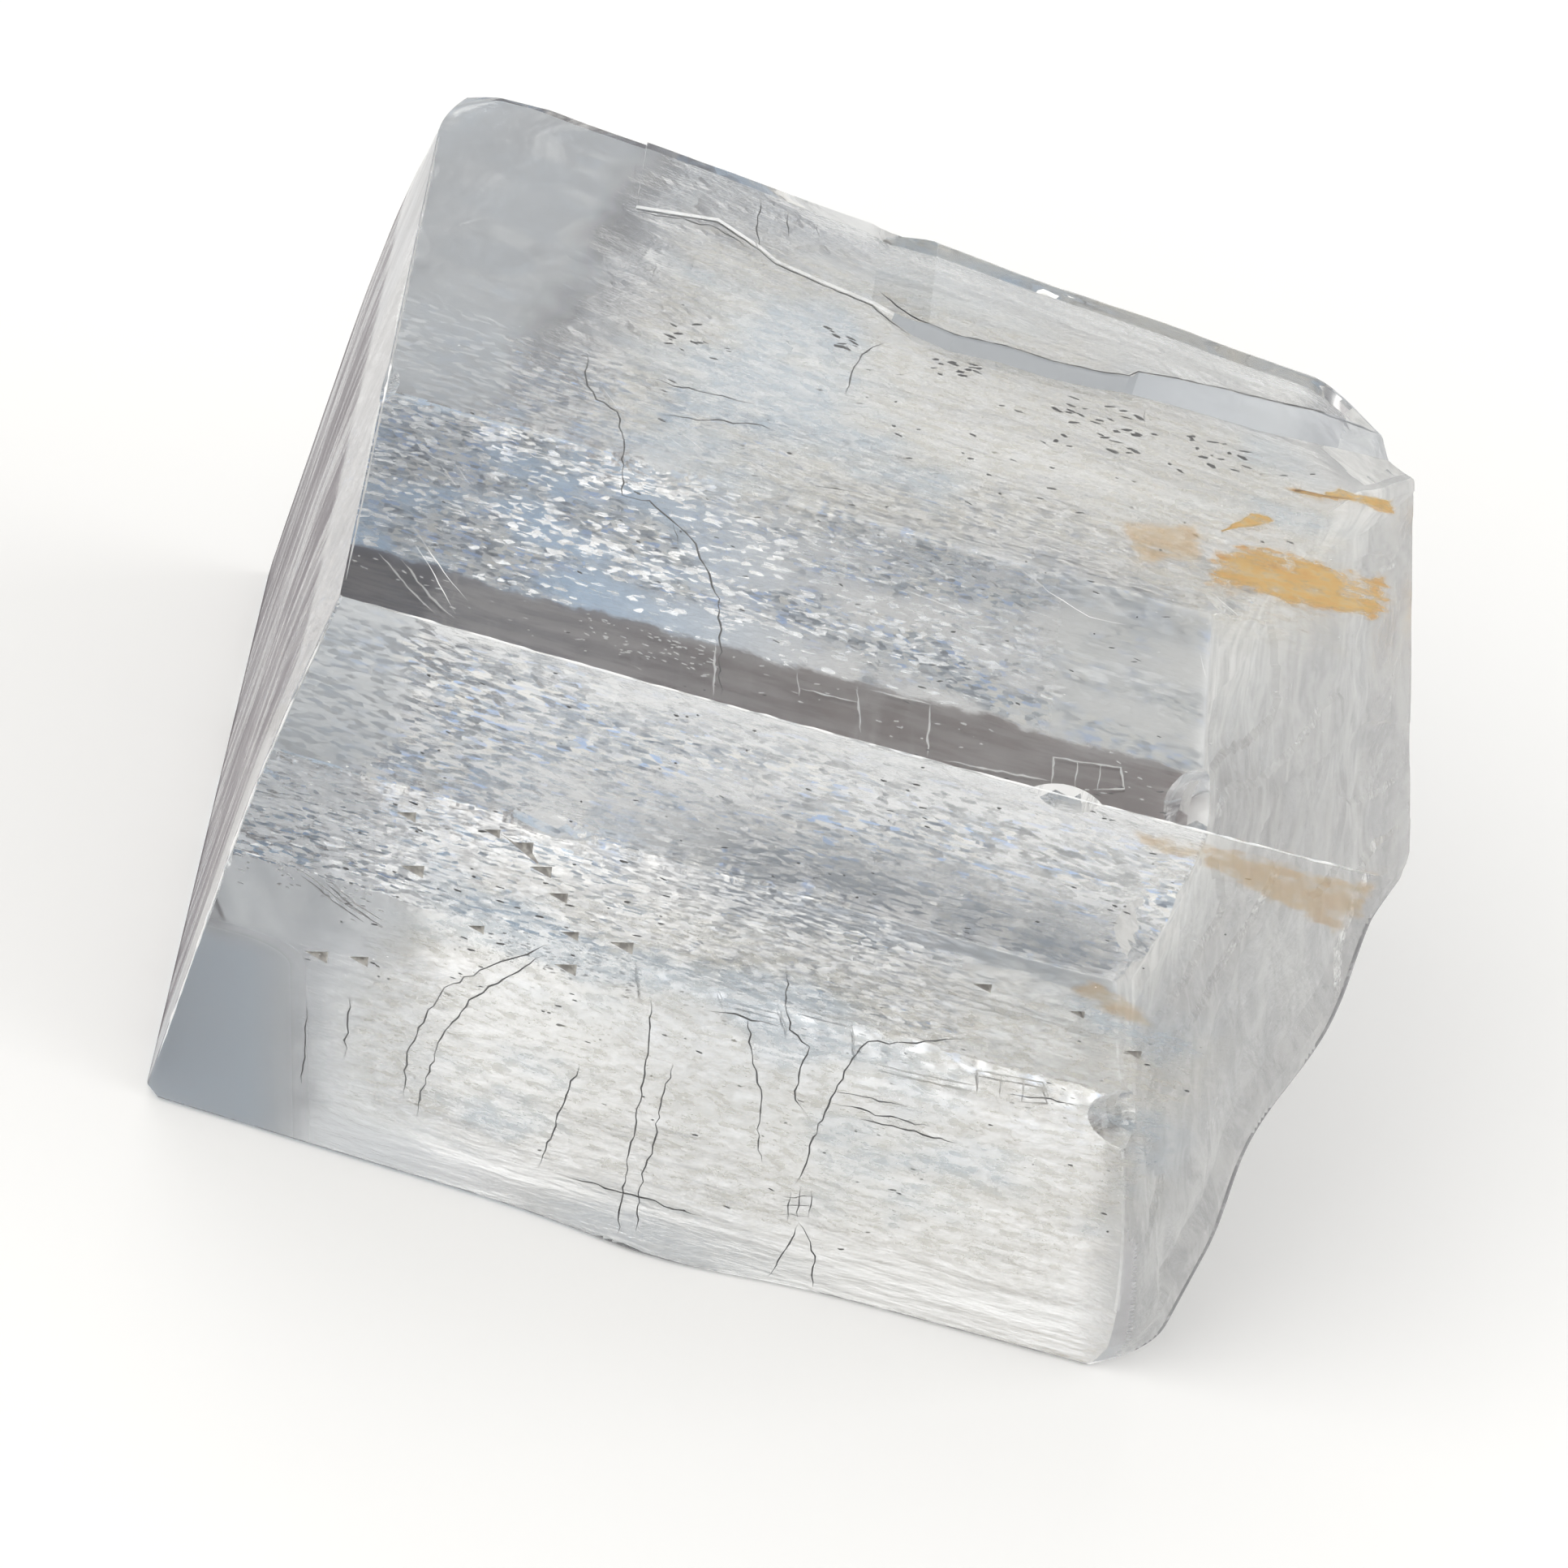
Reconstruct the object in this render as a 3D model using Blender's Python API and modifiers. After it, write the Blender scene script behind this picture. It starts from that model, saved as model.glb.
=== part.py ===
"""A cleaved block of clear optical calcite, lying on one of its cleavage faces.

The block is a rhomb: every face is a parallelogram with angles near 102 and 78 degrees.
Places on it are given in millimetres along its own three edges, from the corner where the
top, the front and the left end meet: u along the long edge, v along the edge that runs
back, and w along the steep edge that runs down to the base.
"""
import math
import random

import bmesh
import bpy
from mathutils import Matrix, Vector, noise

MM = 0.001

# Driving dimensions, in millimetres
LONG_EDGE = 45.0
DEPTH_EDGE = 33.0
STEEP_EDGE = 29.3
FACE_ANGLE = math.radians(101.92)

# Where the block stands, from the middle of its base to the corner that u, v and w start from
CORNER_X = -15.9
CORNER_Y = -11.9

# How far the real faces leave the plain rhomb
GRID_CUTS = 21
FLAT_LIMIT = math.radians(0.5)
BACK_TAPER = 0.138
STRIP_INSET = 0.7
BACK_WAVE = 0.2
LEFT_BULGE = 0.85
FRONT_BULGE = 0.3
FRONT_FOOT_SWELL = 0.6
FRONT_FOOT_MIDDLE = 25.0
END_SWELL = 0.5
END_WAVE = 0.3
END_WAVE_LENGTH = 13.0
END_ROUGHNESS = 0.7
CORNER_WEAR = 1.3
FOOT_WEAR = 2.2
WORN_EDGE = 0.16

# The strip along the back of the top, which stands above the rest of it. Its ledge line is
# given by u, v and how far the ledge leans back from its foot to its lip.
STRIP_RAISE = 0.8
STRIP_LOW_RAISE = 0.15
STRIP_HIGH_START = 20.8
STRIP_LEDGE = [(9.6, 27.5, 0.0), (13.4, 28.0, 0.0), (15.5, 26.9, 0.0), (16.3, 26.3, 0.0),
               (18.2, 25.8, 0.0), (20.9, 25.2, 0.0), (21.8, 24.5, 0.0), (22.8, 23.9, 0.1),
               (24.5, 23.5, 0.1), (26.8, 23.6, 0.1), (29.0, 23.4, 0.1), (31.2, 23.5, 0.1),
               (32.4, 23.7, 0.1), (32.8, 23.7, 0.5), (34.5, 23.7, 0.7), (36.6, 23.6, 0.9),
               (38.7, 23.5, 1.0), (41.0, 23.6, 1.0), (43.6, 23.7, 0.5)]
CUT_MARGIN = 3.0
LEDGE_MARGIN = 0.3

# Stepped breaks where the back, the top and the right end meet: from u, from v, down to w
CORNER_BREAKS = [(40.7, 26.0, 3.2), (42.3, 25.4, 4.6), (43.5, 24.3, 6.5), (44.4, 23.6, 8.0),
                 (45.0, 22.7, 10.0)]

# Shallow ledges on the front: u range, w range and depth
FRONT_LEDGES = [(11.0, 30.5, -1.0, 0.3, 0.14), (15.6, 16.7, 19.2, 26.5, 0.12),
                (18.9, 21.0, 15.6, 27.4, 0.1), (25.0, 31.0, 15.6, 27.0, 0.08)]

# Etched pits on the front: u, w and width
FRONT_PITS = [(6.0, 10.0, 0.8), (9.7, 9.6, 0.7), (11.2, 9.8, 0.8), (12.3, 10.8, 0.9),
              (13.4, 11.9, 0.8), (7.1, 12.7, 1.0), (14.5, 13.7, 0.7), (16.8, 13.5, 0.9),
              (4.5, 18.7, 0.9), (6.3, 18.3, 0.8), (10.6, 14.8, 0.7), (14.9, 15.5, 0.9),
              (31.6, 10.5, 0.7), (35.7, 10.6, 0.6), (38.6, 11.9, 0.7)]
PIT_DEPTH = 0.22

# Shell-shaped chips broken from the edges: u, v, w of the middle, and the radius
EDGE_CHIPS = [(47.6, -1.8, 31.3, 3.2), (47.1, 3.0, 17.0, 2.2), (-1.6, 12.0, -2.0, 2.5),
              (-2.4, 33.6, 29.9, 2.6), (47.4, 15.0, -2.6, 3.2), (47.0, 33.5, 25.0, 3.4),
              (20.0, 35.6, 31.0, 3.6), (-2.0, -1.9, 14.5, 2.0), (30.5, -2.2, -1.6, 2.6),
              (9.0, -2.0, 31.7, 2.9), (47.3, 22.0, 31.5, 3.4),
              (-2.6, -1.6, 30.6, 3.3)]

# Long cleavage steps on the hidden back and base, and blocks missing from the right end
BACK_STEPS = 15
BACK_STEP_DEPTH = (0.15, 0.5)
BASE_STEPS = 9
BASE_STEP_DEPTH = (0.12, 0.3)
END_STEPS = 11
END_STEP_DEPTH = (0.3, 1.1)

CLEAR_COLOUR = (0.80, 0.81, 0.80, 1.0)
CLEAR_ROUGHNESS = 0.08
CALCITE_IOR = 1.62


def lattice_matrix():
    """The rhomb's three edge directions as columns, in metres, with its corner in place."""
    cosine = math.cos(FACE_ANGLE)
    sine = math.sin(FACE_ANGLE)
    steep_y = (cosine - cosine * cosine) / sine
    steep_z = -math.sqrt(1.0 - cosine * cosine - steep_y * steep_y)
    matrix = Matrix.Identity(4)
    matrix.col[0] = (MM, 0.0, 0.0, 0.0)
    matrix.col[1] = (cosine * MM, sine * MM, 0.0, 0.0)
    matrix.col[2] = (cosine * MM, steep_y * MM, steep_z * MM, 0.0)
    matrix.col[3] = (CORNER_X * MM, CORNER_Y * MM, -steep_z * STEEP_EDGE * MM, 1.0)
    return matrix


LATTICE = lattice_matrix()


def ripple(a, b, size, seed):
    """Smooth noise from -1 to 1 that changes over the given size in millimetres."""
    return noise.noise(Vector((a / size, b / size, seed)))


def clear_scene():
    for thing in list(bpy.data.objects):
        bpy.data.objects.remove(thing, do_unlink=True)


def new_collection(name):
    collection = bpy.data.collections.new(name)
    bpy.context.scene.collection.children.link(collection)
    return collection


def new_object(name, mesh_builder, collection):
    """Make an object from a bmesh whose faces all point outwards."""
    bmesh.ops.recalc_face_normals(mesh_builder, faces=mesh_builder.faces)
    mesh = bpy.data.meshes.new(name)
    mesh_builder.to_mesh(mesh)
    mesh_builder.free()
    thing = bpy.data.objects.new(name, mesh)
    collection.objects.link(thing)
    return thing


def mark_as_cutter(thing):
    thing.hide_render = True
    thing.display_type = "WIRE"
    return thing


def calcite_material():
    material = bpy.data.materials.new("clear_calcite")
    material.use_nodes = True
    shader = material.node_tree.nodes["Principled BSDF"]
    shader.inputs["Base Color"].default_value = CLEAR_COLOUR
    shader.inputs["Roughness"].default_value = CLEAR_ROUGHNESS
    shader.inputs["Metallic"].default_value = 0.0
    shader.inputs["IOR"].default_value = CALCITE_IOR
    shader.inputs["Transmission Weight"].default_value = 0.9
    return material


def back_face(u, w):
    """The back face: upright cleavage below, broken forwards towards the top right."""
    height = 1.0 - w / STEEP_EDGE
    inset = STRIP_INSET * min(max(u - STRIP_HIGH_START + 1.0, 0.0), 1.0)
    lean = (inset + BACK_TAPER * u) * height ** 0.7
    worn = CORNER_WEAR * max(1.0 - u / 4.0, 0.0) ** 2 * math.exp(-w / 6.0)
    return DEPTH_EDGE - lean - worn + BACK_WAVE * ripple(u, w * 2.0, 6.0, 3.1)


def right_end(v, w):
    """The right end: an uneven break with a slow wave and a rough middle."""
    swell = END_SWELL * min(v / 2.0, 1.0)
    turn = 2.0 * math.pi * (min(w, 22.0) - 5.5) / END_WAVE_LENGTH
    wave = END_WAVE * math.sin(turn) * min(w / 3.0, 1.0)
    inside = min(v, DEPTH_EDGE - v, w, STEEP_EDGE - w) / 6.0
    rough = END_ROUGHNESS * ripple(v, w, 4.5, 8.7) * min(max(inside, 0.0), 1.0)
    worn = FOOT_WEAR * max((w - 26.0) / 3.3, 0.0) ** 2 * math.exp(-v / 8.0)
    return LONG_EDGE + swell + wave + rough - worn


def left_end(v, w):
    """The left end: flat, with a slight bulge in its lower part."""
    bulge = LEFT_BULGE * math.sin(0.5 * math.pi * min(w / 15.0, 1.0))
    worn = CORNER_WEAR * max(1.0 - (DEPTH_EDGE - v) / 3.0, 0.0) ** 2 * math.exp(-w / 3.0)
    return worn - bulge * (1.0 - 0.4 * v / DEPTH_EDGE)


def front_face(u, w):
    """The front: a very slight bulge, with a fuller foot in the middle."""
    foot = math.exp(-((u - FRONT_FOOT_MIDDLE) / 5.0) ** 2) * max(w / STEEP_EDGE, 0.0) ** 6
    return -FRONT_BULGE * math.sin(math.pi * u / LONG_EDGE) - FRONT_FOOT_SWELL * foot


def block_point(i, j, k):
    """Where a point of the unit cube lies on the real block, as u, v and w."""
    u_plain = i * LONG_EDGE
    v_plain = j * DEPTH_EDGE
    w_plain = k * STEEP_EDGE
    left = left_end(v_plain, w_plain)
    right = right_end(v_plain, w_plain)
    front = front_face(u_plain, w_plain)
    back = back_face(u_plain, w_plain)
    u = left + (right - left) * i
    v = front + (back - front) * j
    w = -STRIP_RAISE + (STEEP_EDGE + STRIP_RAISE) * k
    return Vector((u, v, w))


def make_block(collection):
    """The rhomb as a gridded cube, with its broken faces waved and its flat faces merged."""
    builder = bmesh.new()
    bmesh.ops.create_cube(builder, size=1.0, matrix=Matrix.Translation((0.5, 0.5, 0.5)))
    bmesh.ops.subdivide_edges(builder, edges=builder.edges, cuts=GRID_CUTS, use_grid_fill=True)
    for vert in builder.verts:
        vert.co = LATTICE @ block_point(*vert.co)
    bmesh.ops.dissolve_limit(builder, angle_limit=FLAT_LIMIT, verts=builder.verts,
                             edges=builder.edges)
    return new_object("calcite_crystal", builder, collection)


def sheared_box(builder, u_range, v_range, w_range):
    """Add a box whose sides follow the three cleavages."""
    low = Vector((u_range[0], v_range[0], w_range[0]))
    high = Vector((u_range[1], v_range[1], w_range[1]))
    size = high - low
    place = Matrix.Translation((low + high) / 2.0) @ Matrix.Diagonal((*size, 1.0))
    bmesh.ops.create_cube(builder, size=1.0, matrix=LATTICE @ place)


def main_top(collection):
    """Everything above the main top face that lies in front of the strip's ledge."""
    far_left = -CUT_MARGIN
    far_right = LONG_EDGE + CUT_MARGIN
    far_back = DEPTH_EDGE + CUT_MARGIN
    outline = [(far_left, -CUT_MARGIN, 0.0), (far_right, -CUT_MARGIN, 0.0)]
    outline += [(far_right, STRIP_LEDGE[-1][1], 0.0), *reversed(STRIP_LEDGE)]
    outline += [(STRIP_LEDGE[0][0], far_back, 0.0), (far_left, far_back, 0.0)]
    curve = bpy.data.curves.new("main_top", "CURVE")
    curve.dimensions = "2D"
    curve.fill_mode = "BOTH"
    curve.extrude = 0.5
    spline = curve.splines.new("POLY")
    spline.points.add(len(outline) - 1)
    spline.use_cyclic_u = True
    for point, (u, v, _lean) in zip(spline.points, outline):
        point.co = (u, v, 0.0, 1.0)
    flat = bpy.data.objects.new("main_top_outline", curve)
    collection.objects.link(flat)
    bpy.context.view_layer.update()
    evaluated = flat.evaluated_get(bpy.context.evaluated_depsgraph_get())
    mesh = bpy.data.meshes.new_from_object(evaluated)
    builder = bmesh.new()
    builder.from_mesh(mesh)
    bmesh.ops.remove_doubles(builder, verts=builder.verts, dist=0.001)
    overshoot = (STRIP_RAISE + LEDGE_MARGIN) / STRIP_RAISE
    for vert in builder.verts:
        u, v, upper = vert.co
        if upper > 0.0:
            lean = min(outline, key=lambda point: math.hypot(point[0] - u, point[1] - v))[2]
            vert.co = LATTICE @ Vector((u, v + lean * overshoot, -STRIP_RAISE * overshoot))
        else:
            vert.co = LATTICE @ Vector((u, v, 0.0))
    bpy.data.objects.remove(flat)
    bpy.data.meshes.remove(mesh)
    return mark_as_cutter(new_object("main_top", builder, collection))


def low_strip(collection):
    """The left part of the strip, which is barely raised."""
    builder = bmesh.new()
    sheared_box(builder, (-CUT_MARGIN, STRIP_HIGH_START), (20.0, DEPTH_EDGE + CUT_MARGIN),
                (-STRIP_RAISE - CUT_MARGIN, -STRIP_LOW_RAISE))
    return mark_as_cutter(new_object("low_strip", builder, collection))


def corner_breaks(collection):
    builder = bmesh.new()
    for u_start, v_start, w_end in CORNER_BREAKS:
        sheared_box(builder, (u_start, LONG_EDGE + CUT_MARGIN), (v_start, DEPTH_EDGE + CUT_MARGIN),
                    (-STRIP_RAISE - CUT_MARGIN, w_end))
    return mark_as_cutter(new_object("corner_breaks", builder, collection))


def front_ledges(collection):
    builder = bmesh.new()
    for u_start, u_end, w_start, w_end, depth in FRONT_LEDGES:
        surface = front_face((u_start + u_end) / 2.0, w_start)
        sheared_box(builder, (u_start, u_end), (-CUT_MARGIN, surface + depth), (w_start, w_end))
    return mark_as_cutter(new_object("front_ledges", builder, collection))


def front_pits(collection):
    """Three-sided pits that all point the same way, as etching leaves them."""
    builder = bmesh.new()
    along = LATTICE.col[0].to_3d().normalized()
    inwards = LATTICE.col[2].to_3d().cross(LATTICE.col[0].to_3d()).normalized()
    if inwards.dot(LATTICE.col[1].to_3d()) < 0.0:
        inwards = -inwards
    downwards = along.cross(inwards)
    stretch = Matrix.Diagonal((0.7, 1.3, 1.0, 1.0))
    for u, w, width in FRONT_PITS:
        tip = LATTICE @ Vector((u, front_face(u, w), w)) + inwards * PIT_DEPTH * MM
        turn = Matrix((-downwards, -along, -inwards)).transposed().to_4x4()
        reach = PIT_DEPTH * MM * 2.0
        place = Matrix.Translation(tip - inwards * reach / 2.0) @ turn @ stretch
        bmesh.ops.create_cone(builder, cap_ends=True, segments=3, radius1=0.0,
                              radius2=width * MM, depth=reach, matrix=place)
    return mark_as_cutter(new_object("front_pits", builder, collection))


def edge_chips(collection):
    builder = bmesh.new()
    for u, v, w, radius in EDGE_CHIPS:
        place = Matrix.Translation(LATTICE @ Vector((u, v, w)))
        bmesh.ops.create_icosphere(builder, subdivisions=3, radius=radius * MM, matrix=place)
    return mark_as_cutter(new_object("edge_chips", builder, collection))


def hidden_steps(collection):
    """Cleavage steps on the back, the base and the right end, each a shallow sheared box."""
    draw = random.Random(41)
    builder = bmesh.new()
    for step in range(BACK_STEPS):
        u_start = draw.uniform(-2.0, LONG_EDGE - 12.0)
        w_start = STEEP_EDGE * (step + draw.uniform(0.1, 0.5)) / BACK_STEPS
        w_end = w_start + draw.uniform(0.6, 1.4)
        middle = u_start + 8.0
        surface = back_face(min(max(middle, 0.0), LONG_EDGE), w_start)
        depth = draw.uniform(*BACK_STEP_DEPTH)
        sheared_box(builder, (u_start, u_start + draw.uniform(9.0, 20.0)),
                    (surface - depth, DEPTH_EDGE + CUT_MARGIN), (w_start, w_end))
    for step in range(BASE_STEPS):
        u_start = draw.uniform(3.0, LONG_EDGE - 16.0)
        v_start = 4.0 + (DEPTH_EDGE - 8.0) * (step + draw.uniform(0.1, 0.4)) / BASE_STEPS
        depth = draw.uniform(*BASE_STEP_DEPTH)
        sheared_box(builder, (u_start, u_start + draw.uniform(6.0, 13.0)),
                    (v_start, v_start + draw.uniform(0.5, 1.3)),
                    (STEEP_EDGE - depth, STEEP_EDGE + CUT_MARGIN))
    for step in range(END_STEPS):
        v_start = draw.uniform(3.5, DEPTH_EDGE - 8.0)
        w_start = 3.0 + (STEEP_EDGE - 6.0) * (step + draw.uniform(0.0, 0.4)) / END_STEPS
        depth = draw.uniform(*END_STEP_DEPTH)
        surface = right_end(v_start, w_start)
        sheared_box(builder, (surface - depth, LONG_EDGE + CUT_MARGIN),
                    (v_start, v_start + draw.uniform(2.5, 7.0)),
                    (w_start, w_start + draw.uniform(0.8, 1.7)))
    return mark_as_cutter(new_object("hidden_steps", builder, collection))


def wear_edges(crystal):
    """Rub the sharp edges of the rhomb down a little."""
    bevel = crystal.modifiers.new("worn edges", "BEVEL")
    bevel.width = WORN_EDGE * MM
    bevel.segments = 1
    bevel.limit_method = "ANGLE"
    bevel.angle_limit = math.radians(45.0)
    crystal.modifiers.new("flat facets", "TRIANGULATE")


def cut(crystal, cutter):
    boolean = crystal.modifiers.new(cutter.name, "BOOLEAN")
    boolean.operation = "DIFFERENCE"
    boolean.solver = "EXACT"
    boolean.use_self = True
    boolean.object = cutter


def build():
    clear_scene()
    parts = new_collection("optical_calcite")
    cutters = new_collection("cutters")
    crystal = make_block(parts)
    crystal.data.materials.append(calcite_material())
    wear_edges(crystal)
    cut(crystal, main_top(cutters))
    cut(crystal, low_strip(cutters))
    cut(crystal, corner_breaks(cutters))
    cut(crystal, front_ledges(cutters))
    cut(crystal, hidden_steps(cutters))
    cut(crystal, edge_chips(cutters))
    cut(crystal, front_pits(cutters))


build()
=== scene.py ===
"""The looks of a cleaved block of clear optical calcite.

Places on the crystal are given as in its solid: in millimetres along its own three edges, from
the corner where the top, the front and the left end meet. u runs along the long edge, v runs
back, and w runs down the steep edge to the base.
"""
import math
import random

import bpy
from mathutils import Matrix, Vector, noise


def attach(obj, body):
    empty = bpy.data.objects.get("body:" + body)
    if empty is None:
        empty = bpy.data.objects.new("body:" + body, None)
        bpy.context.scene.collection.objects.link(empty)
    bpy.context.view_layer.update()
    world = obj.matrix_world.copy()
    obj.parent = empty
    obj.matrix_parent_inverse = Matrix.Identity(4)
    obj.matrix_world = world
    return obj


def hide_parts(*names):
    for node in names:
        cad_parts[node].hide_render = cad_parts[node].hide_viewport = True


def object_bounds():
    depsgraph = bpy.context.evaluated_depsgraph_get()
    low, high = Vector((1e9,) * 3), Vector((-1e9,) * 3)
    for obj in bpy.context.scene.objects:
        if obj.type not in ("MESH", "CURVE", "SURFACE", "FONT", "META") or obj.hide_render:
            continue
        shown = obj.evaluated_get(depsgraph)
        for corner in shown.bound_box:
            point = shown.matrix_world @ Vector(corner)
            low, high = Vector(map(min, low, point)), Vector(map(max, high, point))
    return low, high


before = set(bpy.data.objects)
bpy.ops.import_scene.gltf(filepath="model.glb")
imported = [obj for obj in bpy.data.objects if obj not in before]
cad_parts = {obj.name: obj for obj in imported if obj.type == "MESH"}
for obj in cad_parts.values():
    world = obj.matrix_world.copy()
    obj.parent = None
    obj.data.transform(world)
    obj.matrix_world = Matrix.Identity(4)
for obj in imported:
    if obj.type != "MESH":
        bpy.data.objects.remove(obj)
cad_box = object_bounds()

MM = 0.001

# The rhomb, as in the solid
LONG_EDGE = 45.0
DEPTH_EDGE = 33.0
STEEP_EDGE = 29.3
FACE_ANGLE = math.radians(101.92)
CORNER_X = -15.9
CORNER_Y = -11.9

# The camera: 13 degrees round from the front, looking down at 49 degrees
CAMERA_PLACE = (34.27, -141.34, 174.9)
CAMERA_AZIMUTH = 13.35
CAMERA_ELEVATION = 48.69
CAMERA_ROLL = 5.1
CAMERA_LENS = 111.8
SENSOR_WIDTH = 36.0

# How far the real faces leave the plain rhomb, in millimetres. The ends' fine relief is softer
# here than in the solid, and END_STEPS is here only.
BACK_TAPER = 0.138
STRIP_INSET = 0.7
BACK_WAVE = 0.2
LEFT_BULGE = 0.85
FRONT_BULGE = 0.3
FRONT_FOOT_SWELL = 0.6
FRONT_FOOT_MIDDLE = 25.0
END_SWELL = 0.5
END_WAVE = 0.3
END_WAVE_LENGTH = 13.0
END_ROUGHNESS = 0.25
END_STEPS = 0.6
CORNER_WEAR = 1.3
FOOT_WEAR = 2.2

# The strip along the back of the top, as in the solid: its height, and u, v and lean of points
# along its ledge. STRIP_SLOPE is how far the slope up to its high part reaches.
STRIP_RAISE = 0.8
STRIP_LOW_RAISE = 0.15
STRIP_HIGH_START = 20.8
STRIP_SLOPE = 14.0
STRIP_LEDGE = [(9.6, 27.5, 0.0), (13.4, 28.0, 0.0), (15.5, 26.9, 0.0), (16.3, 26.3, 0.0),
               (18.2, 25.8, 0.0), (20.9, 25.2, 0.0), (21.8, 24.5, 0.0), (22.8, 23.9, 0.1),
               (24.5, 23.5, 0.1), (26.8, 23.6, 0.1), (29.0, 23.4, 0.1), (31.2, 23.5, 0.1),
               (32.4, 23.7, 0.1), (32.8, 23.7, 0.5), (34.5, 23.7, 0.7), (36.6, 23.6, 0.9),
               (38.7, 23.5, 1.0), (41.0, 23.6, 1.0), (43.6, 23.7, 0.5)]
CUT_MARGIN = 3.0
LEDGE_MARGIN = 0.3

# The slope broken off the back right corner: where it starts along u, and how deep it goes
CORNER_START = 39.8
CORNER_LOSS = 3.4

# Shell-shaped chips: u, v, w of the middle, and the radius
EDGE_CHIPS = [(47.6, -1.8, 31.3, 3.2), (47.1, 3.0, 17.0, 2.2), (-1.6, 12.0, -2.0, 2.5),
              (-2.4, 33.6, 29.9, 2.6), (47.4, 15.0, -2.6, 3.2), (47.0, 33.5, 25.0, 3.4),
              (20.0, 35.6, 31.0, 3.6), (-2.0, -1.9, 14.5, 2.0), (30.5, -2.2, -1.6, 2.6),
              (9.0, -2.0, 31.7, 2.9), (47.3, 22.0, 31.5, 3.4), (-2.6, -1.6, 30.6, 3.3)]

# Etched pits on the front: u, w and width
FRONT_PITS = [(6.0, 10.0, 0.8), (9.7, 9.6, 0.7), (11.2, 9.8, 0.8), (12.3, 10.8, 0.9),
              (13.4, 11.9, 0.8), (7.1, 12.7, 1.0), (14.5, 13.7, 0.7), (16.8, 13.5, 0.9),
              (4.5, 18.7, 0.9), (6.3, 18.3, 0.8), (10.6, 14.8, 0.7), (14.9, 15.5, 0.9),
              (31.6, 10.5, 0.7), (35.7, 10.6, 0.6), (38.6, 11.9, 0.7)]
PIT_DEPTH = 0.22

# Hairline cracks just under the top: u and v of their points
TOP_CRACKS = [
    [(8.6, 17.7), (8.7, 16.2), (9.3, 15.1), (10.3, 14.7), (10.8, 13.1), (11.1, 9.9), (12.3, 10.0),
     (13.4, 9.2), (14.3, 8.5), (15.1, 7.1), (15.9, 5.5), (16.5, 0.2)],
    [(13.4, 9.2), (13.8, 7.9)],
    [(21.7, 23.2), (20.7, 22.0), (20.3, 20.3), (20.2, 19.2)],
    [(9.6, 27.3), (11.8, 27.7), (13.5, 27.6), (15.2, 26.8)],
    [(15.2, 30.1), (15.4, 26.7)],
    [(16.6, 29.8), (16.7, 27.9)],
    [(18.0, 29.5), (18.1, 28.2)],
    [(9.3, 30.4), (9.4, 29.4)],
    [(10.9, 24.5), (10.9, 23.4)],
    [(33.5, 23.2), (33.5, 22.2)],
    [(12.3, 15.2), (14.3, 15.6), (16.4, 16.1), (17.5, 16.0)],
    [(11.5, 17.2), (13.7, 17.2), (16.3, 17.3)],
    [(19.2, 13.4), (21.0, 13.6)],
]

# Hairline cracks just under the front: u and w of their points
FRONT_CRACKS = [
    [(10.3, 25.2), (9.7, 22.6), (9.9, 20.4), (10.2, 18.5), (11.6, 16.8), (13.8, 14.6)],
    [(11.2, 26.1), (10.9, 23.7), (10.9, 21.2), (11.4, 18.8), (13.7, 15.3)],
    [(4.7, 21.5), (5.3, 23.8), (5.8, 26.1)],
    [(6.4, 20.4), (6.8, 22.2), (7.2, 24.1)],
    [(17.0, 20.4), (17.0, 22.4), (17.1, 24.6), (17.1, 26.8)],
    [(18.7, 15.9), (19.2, 17.4), (19.6, 18.9), (19.9, 20.8), (20.4, 23.1), (20.9, 26.4),
     (21.5, 28.9)],
    [(20.8, 19.0), (21.0, 21.4), (21.4, 23.7), (21.6, 26.1), (22.2, 28.5)],
    [(22.8, 15.3), (23.8, 17.4), (24.9, 19.4), (25.3, 21.2), (26.1, 22.9)],
    [(23.5, 12.2), (24.1, 13.9), (24.8, 15.5), (25.9, 16.1), (26.0, 17.8), (26.3, 19.1),
     (27.3, 20.0)],
    [(31.8, 13.5), (29.7, 14.5), (28.1, 15.0), (27.8, 16.1), (27.8, 17.3), (27.7, 19.3),
     (27.7, 21.3), (27.9, 22.7), (27.8, 23.7)],
    [(27.8, 24.0), (28.2, 25.7)],
    [(28.6, 23.7), (29.0, 25.3)],
    [(28.1, 23.6), (28.6, 25.4)],
    [(27.6, 24.4), (28.8, 24.0)],
    [(27.7, 24.9), (29.0, 24.5)],
    [(27.8, 25.4), (29.0, 25.1)],
    [(28.7, 25.6), (28.6, 27.5), (28.4, 29.0)],
    [(28.7, 25.6), (30.0, 27.2), (30.5, 29.0)],
    [(27.7, 18.1), (29.3, 17.9), (30.9, 17.9)],
    [(27.9, 18.7), (30.1, 18.7), (32.2, 18.6)],
    [(29.2, 19.2), (31.3, 19.1), (33.5, 19.1)],
    [(34.4, 15.8), (35.9, 15.5), (37.5, 15.4)],
    [(18.4, 26.8), (21.4, 26.6), (24.4, 26.6)],
    [(21.1, 15.7), (22.7, 15.5), (24.3, 15.5)],
]
CRACK_DEPTH = 0.12
CRACK_RADIUS = 0.036

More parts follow.
